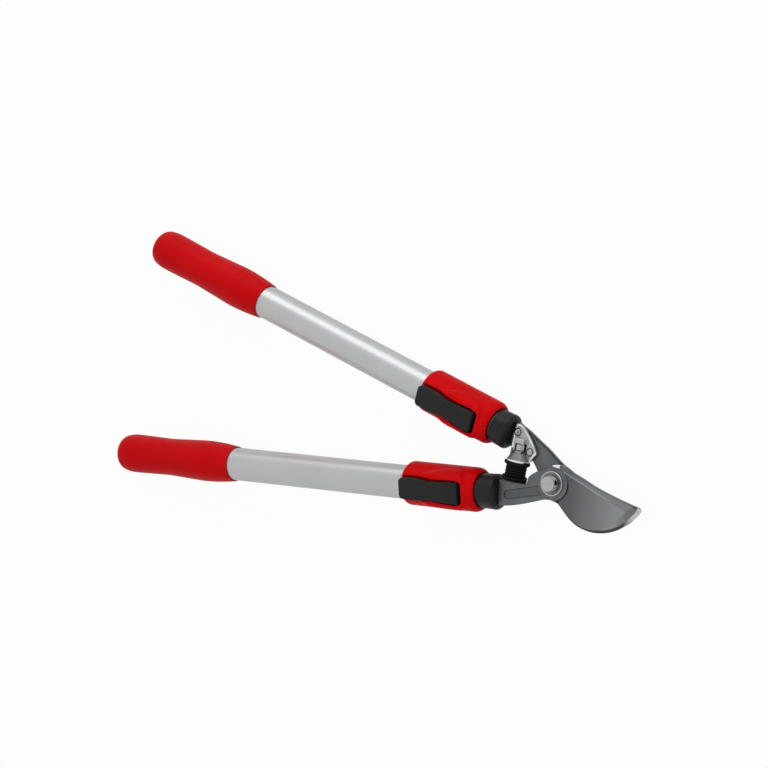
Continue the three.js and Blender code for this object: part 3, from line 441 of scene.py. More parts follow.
grindHighlight = {  # a painted highlight along the line where the ground face of the blade starts
    "x": 0.0185, "y": 0.011, "slope": -0.26, "width": 0.001, "share": 0.6, "paint": (0.42, 0.42, 0.43),
    "ends": ((0.08, 0), (0.11, 1), (0.53, 1), (0.68, 0)),
}
# In the looks, the crease reach and ramp set painted shade in grooves, steps and gaps, and deep is the colour of
# that shade
looks = {
    "anodised": {
        "light": (0.60, 0.605, 0.61), "dark": (0.55, 0.555, 0.56), "metallic": 0.85, "rough": 0.36,
        "stretch": (0.02, 1, 1), "grain": 2600, "patch": 30, "pit": 2200, "pitShade": 0.05,
        "roughGrain": 0.1, "roughPatch": 0.05, "grainHeight": 0.02, "pitHeight": 0.004,
    },
    # the forged steel grows lighter away from the pivot, painted reflection
    "forged": {
        "light": (0.19, 0.193, 0.198), "dark": (0.14, 0.143, 0.148), "metallic": 0.9, "rough": 0.42,
        "paintedTipShade": (0.25, 0.253, 0.258), "paintedTipRun": (0.18, 0.4),
        "deep": (0.03, 0.03, 0.032), "creaseShadeReach": 0.0012, "line": grindHighlight,
        "stretch": (1, 1, 1), "grain": 900, "patch": 90, "pit": 1500, "pitShade": 0.4,
        "roughGrain": 0.12, "roughPatch": 0.1, "grainHeight": 0.06, "pitHeight": 0.03,
    },
    # the ground face is dark near the pivot and lighter towards the tip, painted reflection
    "ground": {
        "light": (0.145, 0.147, 0.15), "dark": (0.115, 0.117, 0.12), "metallic": 0.92, "rough": 0.36,
        "paintedTipShade": (0.34, 0.343, 0.348), "paintedTipRun": (0.2, 0.8), "deep": (0.03, 0.03, 0.032), "creaseShadeReach": 0.0012,
        "line": grindHighlight,
        "stretch": (1.2, 0.05, 1), "grain": 1800, "patch": 60, "pit": 1800, "pitShade": 0.12,
        "roughGrain": 0.14, "roughPatch": 0.06, "grainHeight": 0.03, "pitHeight": 0.006,
    },
    # the honed bevel is lighter than the ground face as painted light, and darker at the tip as painted shade
    "honed": {
        "light": (0.33, 0.33, 0.335), "dark": (0.29, 0.29, 0.295), "metallic": 0.97, "rough": 0.28,
        "paintedTipShade": (0.2, 0.2, 0.203), "paintedTipRun": (0.7, 0.8),
        "stretch": (1, 0.08, 1), "grain": 2600, "patch": 80, "pit": 2000, "pitShade": 0.05,
        "roughGrain": 0.1, "roughPatch": 0.05, "grainHeight": 0.02, "pitHeight": 0.003,
    },
    # a dark steel for the blade's bevelled rims, painted shade along its edges
    "scale": {
        "light": (0.07, 0.07, 0.072), "dark": (0.05, 0.05, 0.052), "metallic": 0.8, "rough": 0.5,
        "stretch": (1, 1, 1), "grain": 900, "patch": 90, "pit": 1500, "pitShade": 0.3,
        "roughGrain": 0.12, "roughPatch": 0.1, "grainHeight": 0.04, "pitHeight": 0.02,
    },
    "hook": {
        "light": (0.18, 0.183, 0.188), "dark": (0.13, 0.133, 0.138), "metallic": 0.9, "rough": 0.42,
        "deep": (0.025, 0.025, 0.027), "creaseShadeReach": 0.002,
        "stretch": (0.3, 1, 1), "grain": 1100, "patch": 70, "pit": 1500, "pitShade": 0.35,
        "roughGrain": 0.12, "roughPatch": 0.1, "grainHeight": 0.05, "pitHeight": 0.025,
    },
    # a darker copy of the cast finish, painted shade on the bracket's bell and in the pivot washer's hollow
    "castDark": {
        "light": (0.24, 0.243, 0.246), "dark": (0.18, 0.182, 0.185), "metallic": 0.85, "rough": 0.4,
        "deep": (0.03, 0.03, 0.032), "creaseShadeReach": 0.002,
        "stretch": (1, 1, 1), "grain": 1000, "patch": 140, "pit": 1400, "pitShade": 0.2,
        "roughGrain": 0.12, "roughPatch": 0.1, "grainHeight": 0.04, "pitHeight": 0.02,
    },
    "cast": {
        "light": (0.56, 0.565, 0.57), "dark": (0.42, 0.425, 0.43), "metallic": 0.85, "rough": 0.34,
        "deep": (0.03, 0.03, 0.032), "creaseShadeReach": 0.0012,
        "stretch": (1, 1, 1), "grain": 1000, "patch": 140, "pit": 1400, "pitShade": 0.35,
        "roughGrain": 0.12, "roughPatch": 0.1, "grainHeight": 0.05, "pitHeight": 0.03,
        "edge": (0.8, 0.8, 0.81), "edgeShare": 0.8,
    },
    # a bright steel for painted highlights on the blade's crown, the bracket's rim and bell foot, and the bolt's
    # chamfer
    "paintedHighlight": {
        "light": (0.88, 0.885, 0.89), "dark": (0.8, 0.805, 0.81), "metallic": 0.97, "rough": 0.2,
        "stretch": (1, 1, 1), "grain": 2400, "patch": 200, "pit": 2600, "pitShade": 0.1,
        "roughGrain": 0.08, "roughPatch": 0.06, "grainHeight": 0.01, "pitHeight": 0.004,
    },
    "blackened": {
        "light": (0.03, 0.03, 0.031), "dark": (0.02, 0.02, 0.021), "metallic": 0.6, "rough": 0.5,
        "stretch": (1, 1, 1), "grain": 2000, "patch": 150, "pit": 2000, "pitShade": 0.2,
        "roughGrain": 0.1, "roughPatch": 0.1, "grainHeight": 0.02, "pitHeight": 0.01,
    },
    # a lighter, less metallic steel with turning grain, painting the light on the bolt's side
    "turned": {
        "light": (0.62, 0.625, 0.63), "dark": (0.54, 0.545, 0.55), "metallic": 0.3, "rough": 0.42,
        "stretch": (1, 1, 0.1), "grain": 2400, "patch": 200, "pit": 2600, "pitShade": 0.2,
        "roughGrain": 0.1, "roughPatch": 0.06, "grainHeight": 0.02, "pitHeight": 0.006,
    },
    "plated": {
        "light": (0.54, 0.545, 0.55), "dark": (0.46, 0.465, 0.47), "metallic": 0.95, "rough": 0.3,
        "stretch": (1, 1, 1), "grain": 2400, "patch": 200, "pit": 2600, "pitShade": 0.2,
        "roughGrain": 0.08, "roughPatch": 0.08, "grainHeight": 0.012, "pitHeight": 0.006,
    },
    "gripRed": {
        "light": (0.64, 0.004, 0.007), "dark": (0.58, 0.003, 0.005), "rubbed": (0.66, 0.02, 0.022),
        "rough": 0.4, "gloss": 0.05, "grain": 2200, "cloud": 40, "mark": 60, "scuff": 0.1,
        "deep": (0.16, 0.001, 0.002), "creaseShadeReach": 0.0015,
        "roughGrain": 0.12, "grainHeight": 0.04, "cloudHeight": 0.05,
    },
    # the shell's wide crease shade paints the lever's shadow round its pocket
    "shellRed": {
        "light": (0.68, 0.004, 0.006), "dark": (0.63, 0.003, 0.004), "rubbed": (0.7, 0.02, 0.022),
        "rough": 0.34, "gloss": 0.03, "grain": 1500, "cloud": 60, "mark": 80, "scuff": 0.1,
        "deep": (0.04, 0.0005, 0.001), "creaseShadeReach": 0.004, "creaseShadeRamp": (0.5, 0.94),
        "roughGrain": 0.06, "grainHeight": 0.015, "cloudHeight": 0.04,
    },
    "leverCharcoal": {
        "light": (0.019, 0.019, 0.0195), "dark": (0.015, 0.015, 0.0155), "rubbed": (0.04, 0.04, 0.04),
        "rough": 0.6, "gloss": 0.2, "grain": 2600, "cloud": 60, "mark": 90, "scuff": 0.2,
        "deep": (0.002, 0.002, 0.002), "creaseShadeReach": 0.0025,
        "roughGrain": 0.15, "grainHeight": 0.08, "cloudHeight": 0.02,
    },
    "satinBlack": {
        "light": (0.017, 0.017, 0.0175), "dark": (0.012, 0.012, 0.0125), "rubbed": (0.04, 0.04, 0.04),
        "rough": 0.38, "gloss": 0.2, "grain": 2400, "cloud": 70, "mark": 90, "scuff": 0.25,
        "deep": (0.001, 0.001, 0.001), "creaseShadeReach": 0.003,
        "roughGrain": 0.12, "grainHeight": 0.03, "cloudHeight": 0.03,
    },
    "rubber": {
        "light": (0.007, 0.007, 0.0075), "dark": (0.004, 0.004, 0.0045), "rubbed": (0.03, 0.03, 0.03),
        "rough": 0.6, "gloss": 0.1, "grain": 2000, "cloud": 90, "mark": 120, "scuff": 0.2,
        "deep": (0.001, 0.001, 0.001), "creaseShadeReach": 0.002,
        "roughGrain": 0.15, "grainHeight": 0.07, "cloudHeight": 0.04,
    },
}
# the keen edge is a dark copy of the honed bevel, painted shade along the belly, turning to a painted highlight at
# the tip
looks["keen"] = {
    **looks["honed"], "light": (0.08, 0.08, 0.082), "dark": (0.06, 0.06, 0.062), "rough": 0.24,
    "paintedTipShade": (0.6, 0.605, 0.61), "paintedTipRun": (0.77, 0.85),
}
forged = metalFinish("forgedSteel", looks["forged"])
ground = metalFinish("groundSteel", looks["ground"])
honed = metalFinish("honedBevel", looks["honed"])
keen = metalFinish("keenEdge", looks["keen"])
paintedShadeBevel = metalFinish("paintedShadeBevel", looks["scale"])
hookSteel = metalFinish("hookSteel", looks["hook"])
castMetal = metalFinish("castMetal", looks["cast"])
castDark = metalFinish("castPaintedShade", looks["castDark"])
paintedHighlight = metalFinish("paintedHighlightSteel", looks["paintedHighlight"])
blackened = metalFinish("blackenedSteel", looks["blackened"])
turnedSteelPaintedLight = metalFinish("turnedSteelPaintedLight", looks["turned"])
plated = metalFinish("platedSteel", looks["plated"])
gripRed = mouldedFinish("gripRed", looks["gripRed"])
shellRed = mouldedFinish("shellRed", looks["shellRed"])
leverCharcoal = mouldedFinish("leverCharcoal", looks["leverCharcoal"])
satinBlack = mouldedFinish("satinBlack", looks["satinBlack"])
rubber = mouldedFinish("bumperRubber", looks["rubber"])
tubeFinish = {word: metalFinish(word + "Anodised", looks["anodised"], handleAngle(word)) for word in layout["side"]}
print("finishes made")


# Handles
gripShape = {
    "dome": [(0, 0.36), (0.012, 0.7), (0.04, 0.9), (0.09, 0.985)],  # share of length, share of the bulb
    "swell": [  # share of length, radius
        (0.14, 19.05), (0.28, 18.65), (0.43, 18.25), (0.58, 19.1), (0.75, 20.05), (0.87, 19.3), (0.95, 18.15),
    ],
    "skinEnd": (1.2, 17.3),  # behind the open end, radius
    "lip": [(2, 17.45), (0, 16.95, 0.35), (0, 16.3, 0.2), (2, 16.3)],  # and rounding
    "bore": 16.3,
    "endWall": 8,
}


def gripBody(word, matrix):
    s = gripShape
    low, high = localBox(word + "_grip", matrix)
    length = high.x - low.x
    dome = [(low.x + length * along, share * s["swell"][0][1]) for along, share in s["dome"]]
    swell = [(low.x + length * along, radius) for along, radius in s["swell"]]
    skin = splinePoints([*dome, *swell, *behind(high.x, [s["skinEnd"]])], 8)
    lip = filleted(behind(high.x, s["lip"]), 4)
    wall = low.x + s["endWall"]
    return lathe([(low.x, 0), *skin[:-1], *lip[1:-1], (wall, s["bore"]), (wall, 0)], steps=128)


tubeShape = {"outer": 16, "outerBore": 14.6, "inner": 14, "innerBore": 12.6, "lip": 0.3, "rivetHole": 2.8}


def outerTube(word, matrix):
    s = tubeShape
    low, high = localBox(word + "_outer_tube", matrix)
    return ringRod(low.x, high.x, s["outerBore"], s["outer"], rim=s["lip"], steps=128)


rivetShape = {"radius": 2.5, "half": 13.55, "rim": 0.5}


def rivetPlaces(word, matrix):
    boxes = [localBox(f"{word}_tang_rivet_{i}", matrix) for i in (1, 2)]
    return [(low.x + high.x) / 2 for low, high in boxes]


def tangRivet(x):
    s = rivetShape
    return shifted(rod(-s["half"], s["half"], s["radius"], "Z", s["rim"]), x)


def innerTube(word, matrix):
    s = tubeShape
    low, high = localBox(word + "_inner_tube", matrix)
    body = ringRod(low.x, high.x, s["innerBore"], s["inner"], rim=s["lip"], steps=128)
    holes = [shifted(rod(-20, 20, s["rivetHole"], "Z"), x) for x in rivetPlaces(word, matrix)]
    return cut(body, *holes)


ferruleShape = {
    "bore": 14.3, "wall": 4.8, "trim": {"lower": 0, "upper": 1.6},
    "back": (16.2, 0.5),  # radius, rounding
    "nose": [  # behind the front, radius, rounding
        (7.4, 16.4), (6.4, 16.1, 0.5), (5.6, 16.6, 0.6), (2.2, 16.6, 3.2), (0, 12.9, 1), (0, 0),
    ],
    "slotHalf": 9.8, "slotEnds": (-12, 5), "slot": {"lower": (-0.15, 5.45), "upper": (-5.45, 0.15)},
}


def ferruleBody(word, matrix):
    s = ferruleShape
    low, high = localBox(word + "_ferrule", matrix)
    back, front, wall = low.x, high.x - s["trim"][word], s["wall"] - s["trim"][word]
    profile = filleted([
        (back, s["bore"]), (back, *s["back"]), *behind(front, s["nose"]), (front - wall, 0),
        (front - wall, s["bore"]),
    ])
    (slotBack, slotFront), (under, over), half = s["slotEnds"], s["slot"][word], s["slotHalf"]
    slot = block((front + slotBack, -half, under), (front + slotFront, half, over))
    return cut(lathe(profile, steps=128, ring=True), slot)


collarShape = {
    "backTrim": 2.4, "frontTrim": 1.4,
    "backEnd": [(0, 18.3, 0.4), (-0.9, 19.5, 1), (-3, 20.7, 5)],  # behind the back end, radius, rounding
    "frontEnd": [(4, 20.7, 8), (0.8, 18.4, 1), (0, 17.4, 0.4)],
    "cheekTop": 21.4, "cheekTopHalf": 15, "cheekCorner": 6, "cheekFoot": 9, "cheekFootHalf": 19.6,
    "cheekLength": 50, "cheekFront": 10.1, "cheekRound": 12, "cheekBack": (14, 17),  # half width, height
    "cheekFade": 24, "fadeRounds": (60, 30),  # seen from above, seen from the side
    "blendVoxel": 0.6, "blend": 110, "voxel": 0.5, "passes": 5,
    "outerHole": 16.3, "innerHole": 14.3, "guide": 27.4,
    "pocketFloor": 15.7, "pocketEdge": (2, 1), "saddle": 20.49,
    "groove": (1.4, -1.2, 16.4),  # outside and inside the lever's outline, floor
    "camSlot": (-7.7, 2.5, 5.3, 5), "pinHole": 1.8, "pinHalf": 12.5, "notch": (8, 7.2, 10),
    "rivetHole": 1.9, "rivetSeat": 3.3, "rivetSeatTop": -18.35, "rivetInset": 24, "flat": 20.4,
}
leverShape = {
    "half": 10.2, "waist": 8.7, "corner": 4.2, "top": 24, "topRound": 1.5, "play": 1, "pinHeight": 18.9,
    "pinch": [(0.3, 0), (0.5, 1), (0.75, 0.33)],  # share of length, share of the way in to the waist
    "saddle": 21, "cam": 2.3, "throw": 0.5, "camHalf": 4, "pinHole": 1.8, "swing": 5.71,
    "noseInset": (0.4, 0.3, 1.8), "voxel": 0.4, "passes": 3,
}
handlePlaces = handleFrame("lower", layout["roll"])  # both handles are alike in their own frames
leverBack, leverFront = (corner.x for corner in localBox("lower_lever", handlePlaces))
collarBack, collarFront = (corner.x for corner in localBox("lower_collar", handlePlaces))
pinX = sum(corner.x for corner in localBox("lower_lever_pin", handlePlaces)) / 2


def leverPlan(grow=0.0, nose=None):
    s = leverShape
    nose = leverFront if nose is None else nose
    length = leverFront - leverBack
    half, waist, corner, tail = s["half"] + grow, s["waist"] + grow, s["corner"], leverBack - grow
    inner = [(leverBack + length * along, half - (half - waist) * share) for along, share in s["pinch"]]
    side = splinePoints([(tail + corner, half), *inner, (nose - corner, half)], 5)
    upper = [
        *arcPoints(tail + corner, half - corner, corner, 180, 90), *side[1:-1],
        *arcPoints(nose - corner, half - corner, corner, 90, 0),
    ]
    return upper + [Vector((x, -y)) for x, y in reversed(upper)]


def collarBody():
    s, lever = collarShape, leverShape
    shellBack, shellFront = collarBack + s["backTrim"], collarFront - s["frontTrim"]
    shell = lathe(filleted([
        (shellBack, 0), *behind(shellBack, s["backEnd"]), *behind(shellFront, s["frontEnd"]), (shellFront, 0),
    ]), steps=128)
    front = collarFront - s["cheekFront"]
    back = front - s["cheekLength"]
    fade, (tailHalf, tailTop), (sweep, slope) = back + s["cheekFade"], s["cheekBack"], s["fadeRounds"]
    foot, topHalf, top, corner = s["cheekFootHalf"], s["cheekTopHalf"], s["cheekTop"], s["cheekCorner"]
    section = [(-foot, s["cheekFoot"]), (foot, s["cheekFoot"]), (topHalf, top, corner), (-topHalf, top, corner)]
    bar = moved(plate(filleted(section), back, front), alongX)
    plan = filleted([
        (back, -tailHalf), (back, tailHalf), (fade, foot, sweep), (front, foot, s["cheekRound"]),
        (front, -foot, s["cheekRound"]), (fade, -foot, sweep),
    ], 8)
    side = filleted([(back, 0), (front, 0), (front, top), (fade, top, slope), (back, tailTop)])
    faded = moved(plate(side, -30, 30), Matrix.Rotation(pi / 2, 4, "X"))
    cheeks = common(bar, plate(plan, 0, 40), faded)
    body = joined(remeshed(joined(shell.copy(), cheeks), s["blendVoxel"], s["blend"]), shell)
    pocketFront = pinX + lever["swing"]
    pocketBack, pocketEdge = back - s["pocketEdge"][0], s["pocketEdge"][1]
    pocketHalf = lever["half"] + lever["play"] + pocketEdge
    pocketRoom = block((pocketBack, -pocketHalf, 0), (pocketFront + pocketEdge, pocketHalf, 60))
    outside, inside, floor = s["groove"]
    slotBack, slotFront, slotHalf, slotFloor = s["camSlot"]
    notchLength, notchHalf, notchFloor = s["notch"]
    past = 5  # how far the cutters stand out
    flat = block((collarBack - past, -30, -40), (collarFront + past, 30, -s["flat"]))
    cutters = [
        cut(plate(leverPlan(outside), floor, 40), plate(leverPlan(inside), 0, 60)),
        rod(collarBack - past, collarFront - s["guide"], s["outerHole"], steps=96),
        rod(collarBack, collarFront + past, s["innerHole"], steps=96),
        common(plate(leverPlan(lever["play"], pocketFront), s["pocketFloor"], 40), pocketRoom),
        common(plate(leverPlan(lever["play"]), s["saddle"], 40), block((pocketBack, -20, 0), (leverFront, 20, 60))),
        block((pinX + slotBack, -slotHalf, slotFloor), (pinX + slotFront, slotHalf, 30)),
        shifted(rod(-s["pinHalf"], s["pinHalf"], s["pinHole"], "Y"), pinX, 0, lever["pinHeight"]),
        block((collarBack - past, -notchHalf, notchFloor), (collarBack + notchLength, notchHalf, 40)),
        moved(flat, Matrix.Rotation(radians(-layout["roll"]), 4, "X")),
        shifted(rod(-40, 0, s["rivetHole"], "Z"), collarBack + s["rivetInset"]),
        shifted(rod(-40, s["rivetSeatTop"], s["rivetSeat"], "Z"), collarBack + s["rivetInset"]),
    ]
    return remeshed(cut(body, *cutters), s["voxel"], s["passes"])


def leverBody():
    s = leverShape
    top, pin = s["top"], s["pinHeight"]
    foot = s["cam"] + s["throw"]
    body = plate(leverPlan(), 0, top, s["topRound"], 4, lambda middle: middle.z > top - 0.1)
    body = cut(
        body,
        rod(leverBack - 5, leverFront + 5, s["saddle"], steps=128),
        block((leverBack - 5, -20, -5), (leverFront + 5, 20, pin - foot)),
        block((pinX - foot, -20, -5), (leverFront + 5, 20, pin)),
    )
    short, narrow, low = s["noseInset"]
    noseHalf = s["half"] - narrow
    body = joined(
        body,
        block((pinX - foot, -noseHalf, pin), (leverFront - short, noseHalf, top - low)),
        shifted(rod(-noseHalf, noseHalf, s["cam"], "Y"), pinX, 0, pin),
        shifted(rod(-s["camHalf"], s["camHalf"], s["cam"], "Y"), pinX, 0, pin - s["throw"]),
    )
    body = cut(body, shifted(rod(-20, 20, s["pinHole"], "Y"), pinX, 0, pin))
    return remeshed(body, s["voxel"], s["passes"])


pinShape = {"radius": 1.5, "rim": 0.35, "trim": 1.9}


def leverPin(word, matrix):
    low, high = localBox(word + "_lever_pin", matrix)
    trim = pinShape["trim"]
    pin = rod(low.y + trim, high.y - trim, pinShape["radius"], "Y", pinShape["rim"])
    return shifted(pin, pinX, 0, leverShape["pinHeight"])


shoeShape = {"bore": 14.3, "rim": 0.35}


def clampShoe(word, matrix):
    low, high = localBox(word + "_clamp_shoe", matrix)
    bar = block((low.x, low.y, 5), high, shoeShape["rim"])
    return cut(bar, rod(low.x - 5, high.x + 5, shoeShape["bore"], steps=128))


collarRivetShape = {
    "shank": 1.6, "head": 3, "seat": -18.65, "end": -14.9,
    "dome": [(-20.1, 0), (-19.98, 1.4), (-19.5, 2.5), (-19.1, 3)],  # height, radius
}


def collarRivet():
    s = collarRivetShape
    rest = [(s["seat"], s["head"]), (s["seat"], s["shank"]), (s["end"], s["shank"]), (s["end"], 0)]
    profile = [*splinePoints(s["dome"], 5), *rest]
    return shifted(lathe(profile, "Z", 64), collarBack + collarShape["rivetInset"])


collarMesh, leverMesh = collarBody(), leverBody()
print("collar faces", len(collarMesh.faces), "lever faces", len(leverMesh.faces))
for word in layout["side"]:
    straight, rolled = handleFrame(word), handleFrame(word, layout["roll"])
    rivets = [tangRivet(x) for x in rivetPlaces(word, straight)]
    for name, node, bm, turned, finish, slot in (  # name, solid, mesh, turned with the collar, finish, slot
        ("Grip", "grip", gripBody(word, straight), False, gripRed, "red_grip"),
        ("OuterTube", "outer_tube", outerTube(word, straight), False, tubeFinish[word], "anodised_tube"),
        ("InnerTube", "inner_tube", innerTube(word, straight), False, tubeFinish[word], "anodised_tube"),
        ("Ferrule", "ferrule", ferruleBody(word, straight), False, satinBlack, "black_plastic"),
        ("TangRivet1", "tang_rivet_1", rivets[0], False, plated, "plated_steel"),
        ("TangRivet2", "tang_rivet_2", rivets[1], False, plated, "plated_steel"),
        ("Collar", "collar", collarMesh.copy(), True, shellRed, "red_shell"),
        ("Lever", "lever", leverMesh.copy(), True, leverCharcoal, "charcoal_lever"),
        ("LeverPin", "lever_pin", leverPin(word, rolled), True, blackened, "plated_steel"),
        ("ClampShoe", "clamp_shoe", clampShoe(word, rolled), True, blackened, "plated_steel"),
        ("CollarRivet", "collar_rivet", collarRivet(), True, plated, "plated_steel"),
    ):
        sharp = 60 if name in ("Collar", "Lever") else 32  # remeshed pieces are soft all over
        addPiece(word + name, bm, rolled if turned else straight, [f"{word}_{node}"], finish, sharp)
    for node in ("_guide_bush", "_end_plug"):
        solid = nodes[word + node].data
        solid.materials.clear()
        solid.materials.append(satinBlack)
print("handles made")


# Blade
bladeShape = {
    "reach": 92.5, "drop": 33.1, "low": 0.15, "high": 5.15,
    "belly": [
        (0.063, -0.471), (0.15, -0.675), (0.248, -0.856), (0.339, -0.96), (0.427, -1), (0.523, -0.996),
        (0.633, -0.926), (0.726, -0.816), (0.806, -0.671), (0.873, -0.496), (0.932, -0.321), (0.98, -0.143),
        (0.998, -0.006),
    ],
    "spine": [(0.976, 0.052), (0.761, 0.118), (0.5, 0.236), (0.312, 0.37), (0.202, 0.44)],
    "crown": [
        (0.202, 0.44), (0.103, 0.547), (0.027, 0.546), (-0.035, 0.488), (-0.104, 0.354), (-0.178, 0.225),
        (-0.24, 0.091), (-0.276, -0.019),
    ],
    "seat": [(-0.283, -0.238)],
    "under": [(-0.7, -0.554), (-0.52, -0.488), (-0.255, -0.365), (-0.1, -0.293), (0.02, -0.268)],
    "rim": 0.4,
    "grindStart": (0.2, 0.332), "grindSlope": -0.26, "grindAngle": 6.3, "grindClear": 16,
    "honed": 24, "keen": (27, 42), "keenLip": 0.2, "keenRise": (1.6, 3.2),  # angles, heights
    "tipShare": 0.7, "edgeRamp": 8, "edgeStart": (-0.6, 0.3),
    "crownPatch": (-3.2, 4.6, 15.3, 30),  # start, end, across, slope
    "patchRoom": 8, "boss": 14.8, "bossTop": 5.55, "bossRim": 0.5, "pivotHole": 6,
    "pocket": [(-0.765, -0.39), (-0.215, -0.175)], "pocketHalf": 4.3, "pocketDepth": 1.1, "pocketRim": 0.5,
}
tangShape = {"shoulderHalf": 12, "tangHalf": 9.5, "length": 44, "hole": 2.8}


def tangLine(word):
    s = tangShape
    tubeFront = localBox(word + "_inner_tube", handleFrame(word))[1].x
    shoulder = -layout["headReach"] + 0.3
    back = tubeFront - s["length"]
    wide, half = s["shoulderHalf"], s["tangHalf"]
    corners = [(shoulder, wide), (shoulder, half), (back, half)]
    corners += [(x, -y) for x, y in reversed(corners)]
    return [onHandle(word, x, y) for x, y in corners]


def tangHoles(word):
    places = [onHandle(word, x, 0) for x in rivetPlaces(word, handleFrame(word))]
    return [shifted(rod(-20, 20, tangShape["hole"], "Z"), *place) for place in places]


def swept(rings):  # a solid through rings of the same number of points
    bm = bmesh.new()
    corners = [bm.verts.new(point) for point in rings[0]]
    face = bm.faces.new(corners)
    for i, ring in enumerate(rings[1:]):
        raised = bmesh.ops.extrude_face_region(bm, geom=[face])["geom"]
        if i:  # the face inside goes
            bm.faces.remove(face)
        fresh = [v for v in raised if isinstance(v, bmesh.types.BMVert)]
        face = next(f for f in raised if isinstance(f, bmesh.types.BMFace))
        matched = [min(fresh, key=lambda v: (v.co - old.co).length) for old in corners]
        for corner, point in zip(matched, ring):
            corner.co = point
        corners = matched
    bmesh.ops.recalc_face_normals(bm, faces=bm.faces)
    return bm


def edgeChisel():  # the room inside the honed bevel and the keen edge along the belly
    s = bladeShape
    line = smooth(s["belly"], s["reach"], s["drop"], 4)
    before, aside = s["edgeStart"]
    start, far = line[0] + Vector((before, 0)), 300
    rings = [[], [], []]
    for i, point in enumerate(line):
        ahead = (line[min(i + 1, len(line) - 1)] - line[max(i - 1, 0)]).normalized()
        outward = Vector((ahead.y, -ahead.x))
        share = min(1, i / s["edgeRamp"])
        toTip = max(0, (i / (len(line) - 1) - s["tipShare"]) / (1 - s["tipShare"]))
        rise = s["keenRise"][0] + (s["keenRise"][1] - s["keenRise"][0]) * toTip
        levels = (-1, rise, s["bossTop"] + 1)
        steep = tan(radians(s["keen"][0] + (s["keen"][1] - s["keen"][0]) * toTip))
        reach = (s["keenLip"] - rise) / steep
        outs = (
            (s["keenLip"] + 1) / steep, reach,
            reach - (levels[2] - rise) / tan(radians(s["honed"])),
        )
        for ring, level, out in zip(rings, levels, outs):
            ring.append((*(point + outward * (out * share + (1 - share) * aside)), s["low"] + level))
    for ring, level in zip(rings, (-1, s["keenRise"][1], s["bossTop"] + 1)):
        end = Vector(ring[-1][:2]) + (line[-1] - line[-2]).normalized() * 20
        corners = [end, (far, far), (-far, far), (-far, -far), (start.x, -far), start]
        ring += [(*corner, s["low"] + level) for corner in corners]
    return swept(rings)


def grindCutter():  # takes the ground face off below the spine band
    s = bladeShape
    size = 200
    wedge = block((-size / 2, -size, 0), (size / 2, 0, size))
    start = Vector(s["grindStart"])
    turn = Matrix.Rotation(atan(s["grindSlope"]), 4, "Z") @ Matrix.Rotation(radians(s["grindAngle"]), 4, "X")
    moved(wedge, Matrix.Translation((start.x * s["reach"], start.y * s["drop"], s["high"])) @ turn)
    keepBoss = rod(-60, 60, s["grindClear"], "Z", steps=128)
    keepArm = block((-300, -300, -300), (s["boss"] / 2, 300, 300))
    return cut(wedge, keepBoss, keepArm)


def pocketCutter():
    s = bladeShape
    back, front = scaled(s["pocket"], layout["headReach"], layout["headReach"])
    ahead, half, top = front - back, s["pocketHalf"], s["high"]
    outline = [*arcPoints(0, 0, half, 90, 270, 12), *arcPoints(ahead.length, 0, half, -90, 90, 12)]
    cutter = plate(outline, top - s["pocketDepth"], top + 5, s["pocketRim"], 3, lambda middle: middle.z < top)
    turn = Matrix.Rotation(-Vector((1, 0)).angle_signed(ahead), 4, "Z")
    return moved(cutter, Matrix.Translation((*back, 0)) @ turn)


def bladeBody():
    s = bladeShape
    reach = layout["headReach"]
    belly = smooth(s["belly"], s["reach"], s["drop"])
    spine = smooth(s["spine"], s["reach"], s["drop"])
    crown = smooth(s["crown"], s["reach"], s["drop"], 5)[1:]
    seat = scaled(s["seat"], s["reach"], s["drop"])
    tang = tangLine("lower")
    under = splinePoints([tang[-1], *scaled(s["under"], reach, reach)], 5)[1:]
    outline = [*belly, *spine, *crown, *seat, *tang, *under]
    body = plate(outline, s["low"], s["high"], s["rim"], 3, lambda middle: middle.y > -0.3 or middle.x < 5)
    boss = lathe(filleted([
        (s["low"], 0), (s["low"], s["boss"]), (s["bossTop"], s["boss"], s["bossRim"]), (s["bossTop"], 0),
    ]), "Z", 128)
    body = cut(body, grindCutter(), pocketCutter())
    body = common(body, edgeChisel())
    start, end, across, slope = s["crownPatch"]  # a filed corner over the pivot, whose bright finish is a painted highlight
    patch = moved(block((start, 0, 0), (end, s["patchRoom"], s["patchRoom"])),
                  Matrix.Rotation(radians(-slope), 4, "X"))
    body = cut(body, shifted(patch, 0, across, s["high"]))
    body = joined(body, boss)
    body = cut(body, rod(-20, 20, s["pivotHole"], "Z"), *tangHoles("lower"))
    for face in body.faces:  # each finish is told by where a face lies and how it leans
        middle, rise = face.calc_center_median(), face.normal.z
        onBelly = middle.x > s["boss"] / 2 and middle.y < 1 and 0.6 < rise < 0.975
        foot = min(vertex.co.z for vertex in face.verts) - s["low"]
        face.material_index = 0
        if middle.x > s["boss"] / 2 and 0.985 < rise < 0.998:
            face.material_index = 1
        elif onBelly:
            face.material_index = 3 if foot < s["keenLip"] + 0.3 else 2
        # the filed corner takes the bright steel, a painted highlight
        elif start < middle.x < end and middle.y > across and abs(rise - cos(radians(slope))) < 0.02:
            face.material_index = 5
        elif middle.x < -5 and rise > 0.99 and abs(middle.z - s["high"] + s["pocketDepth"]) < 0.1:
            face.material_index = 1
        # the bevelled rims take the dark steel, painted shade
        elif 0.2 < rise < 0.975 and middle.xy.length > s["boss"] + 1 and not 0 < middle.x < 12:
            face.material_index = 4
    return body


addPiece("bladeArm", bladeBody(), headFrame, ["blade_arm"], [forged, ground, honed, keen, paintedShadeBevel, paintedHighlight],
         25)
print("blade made")


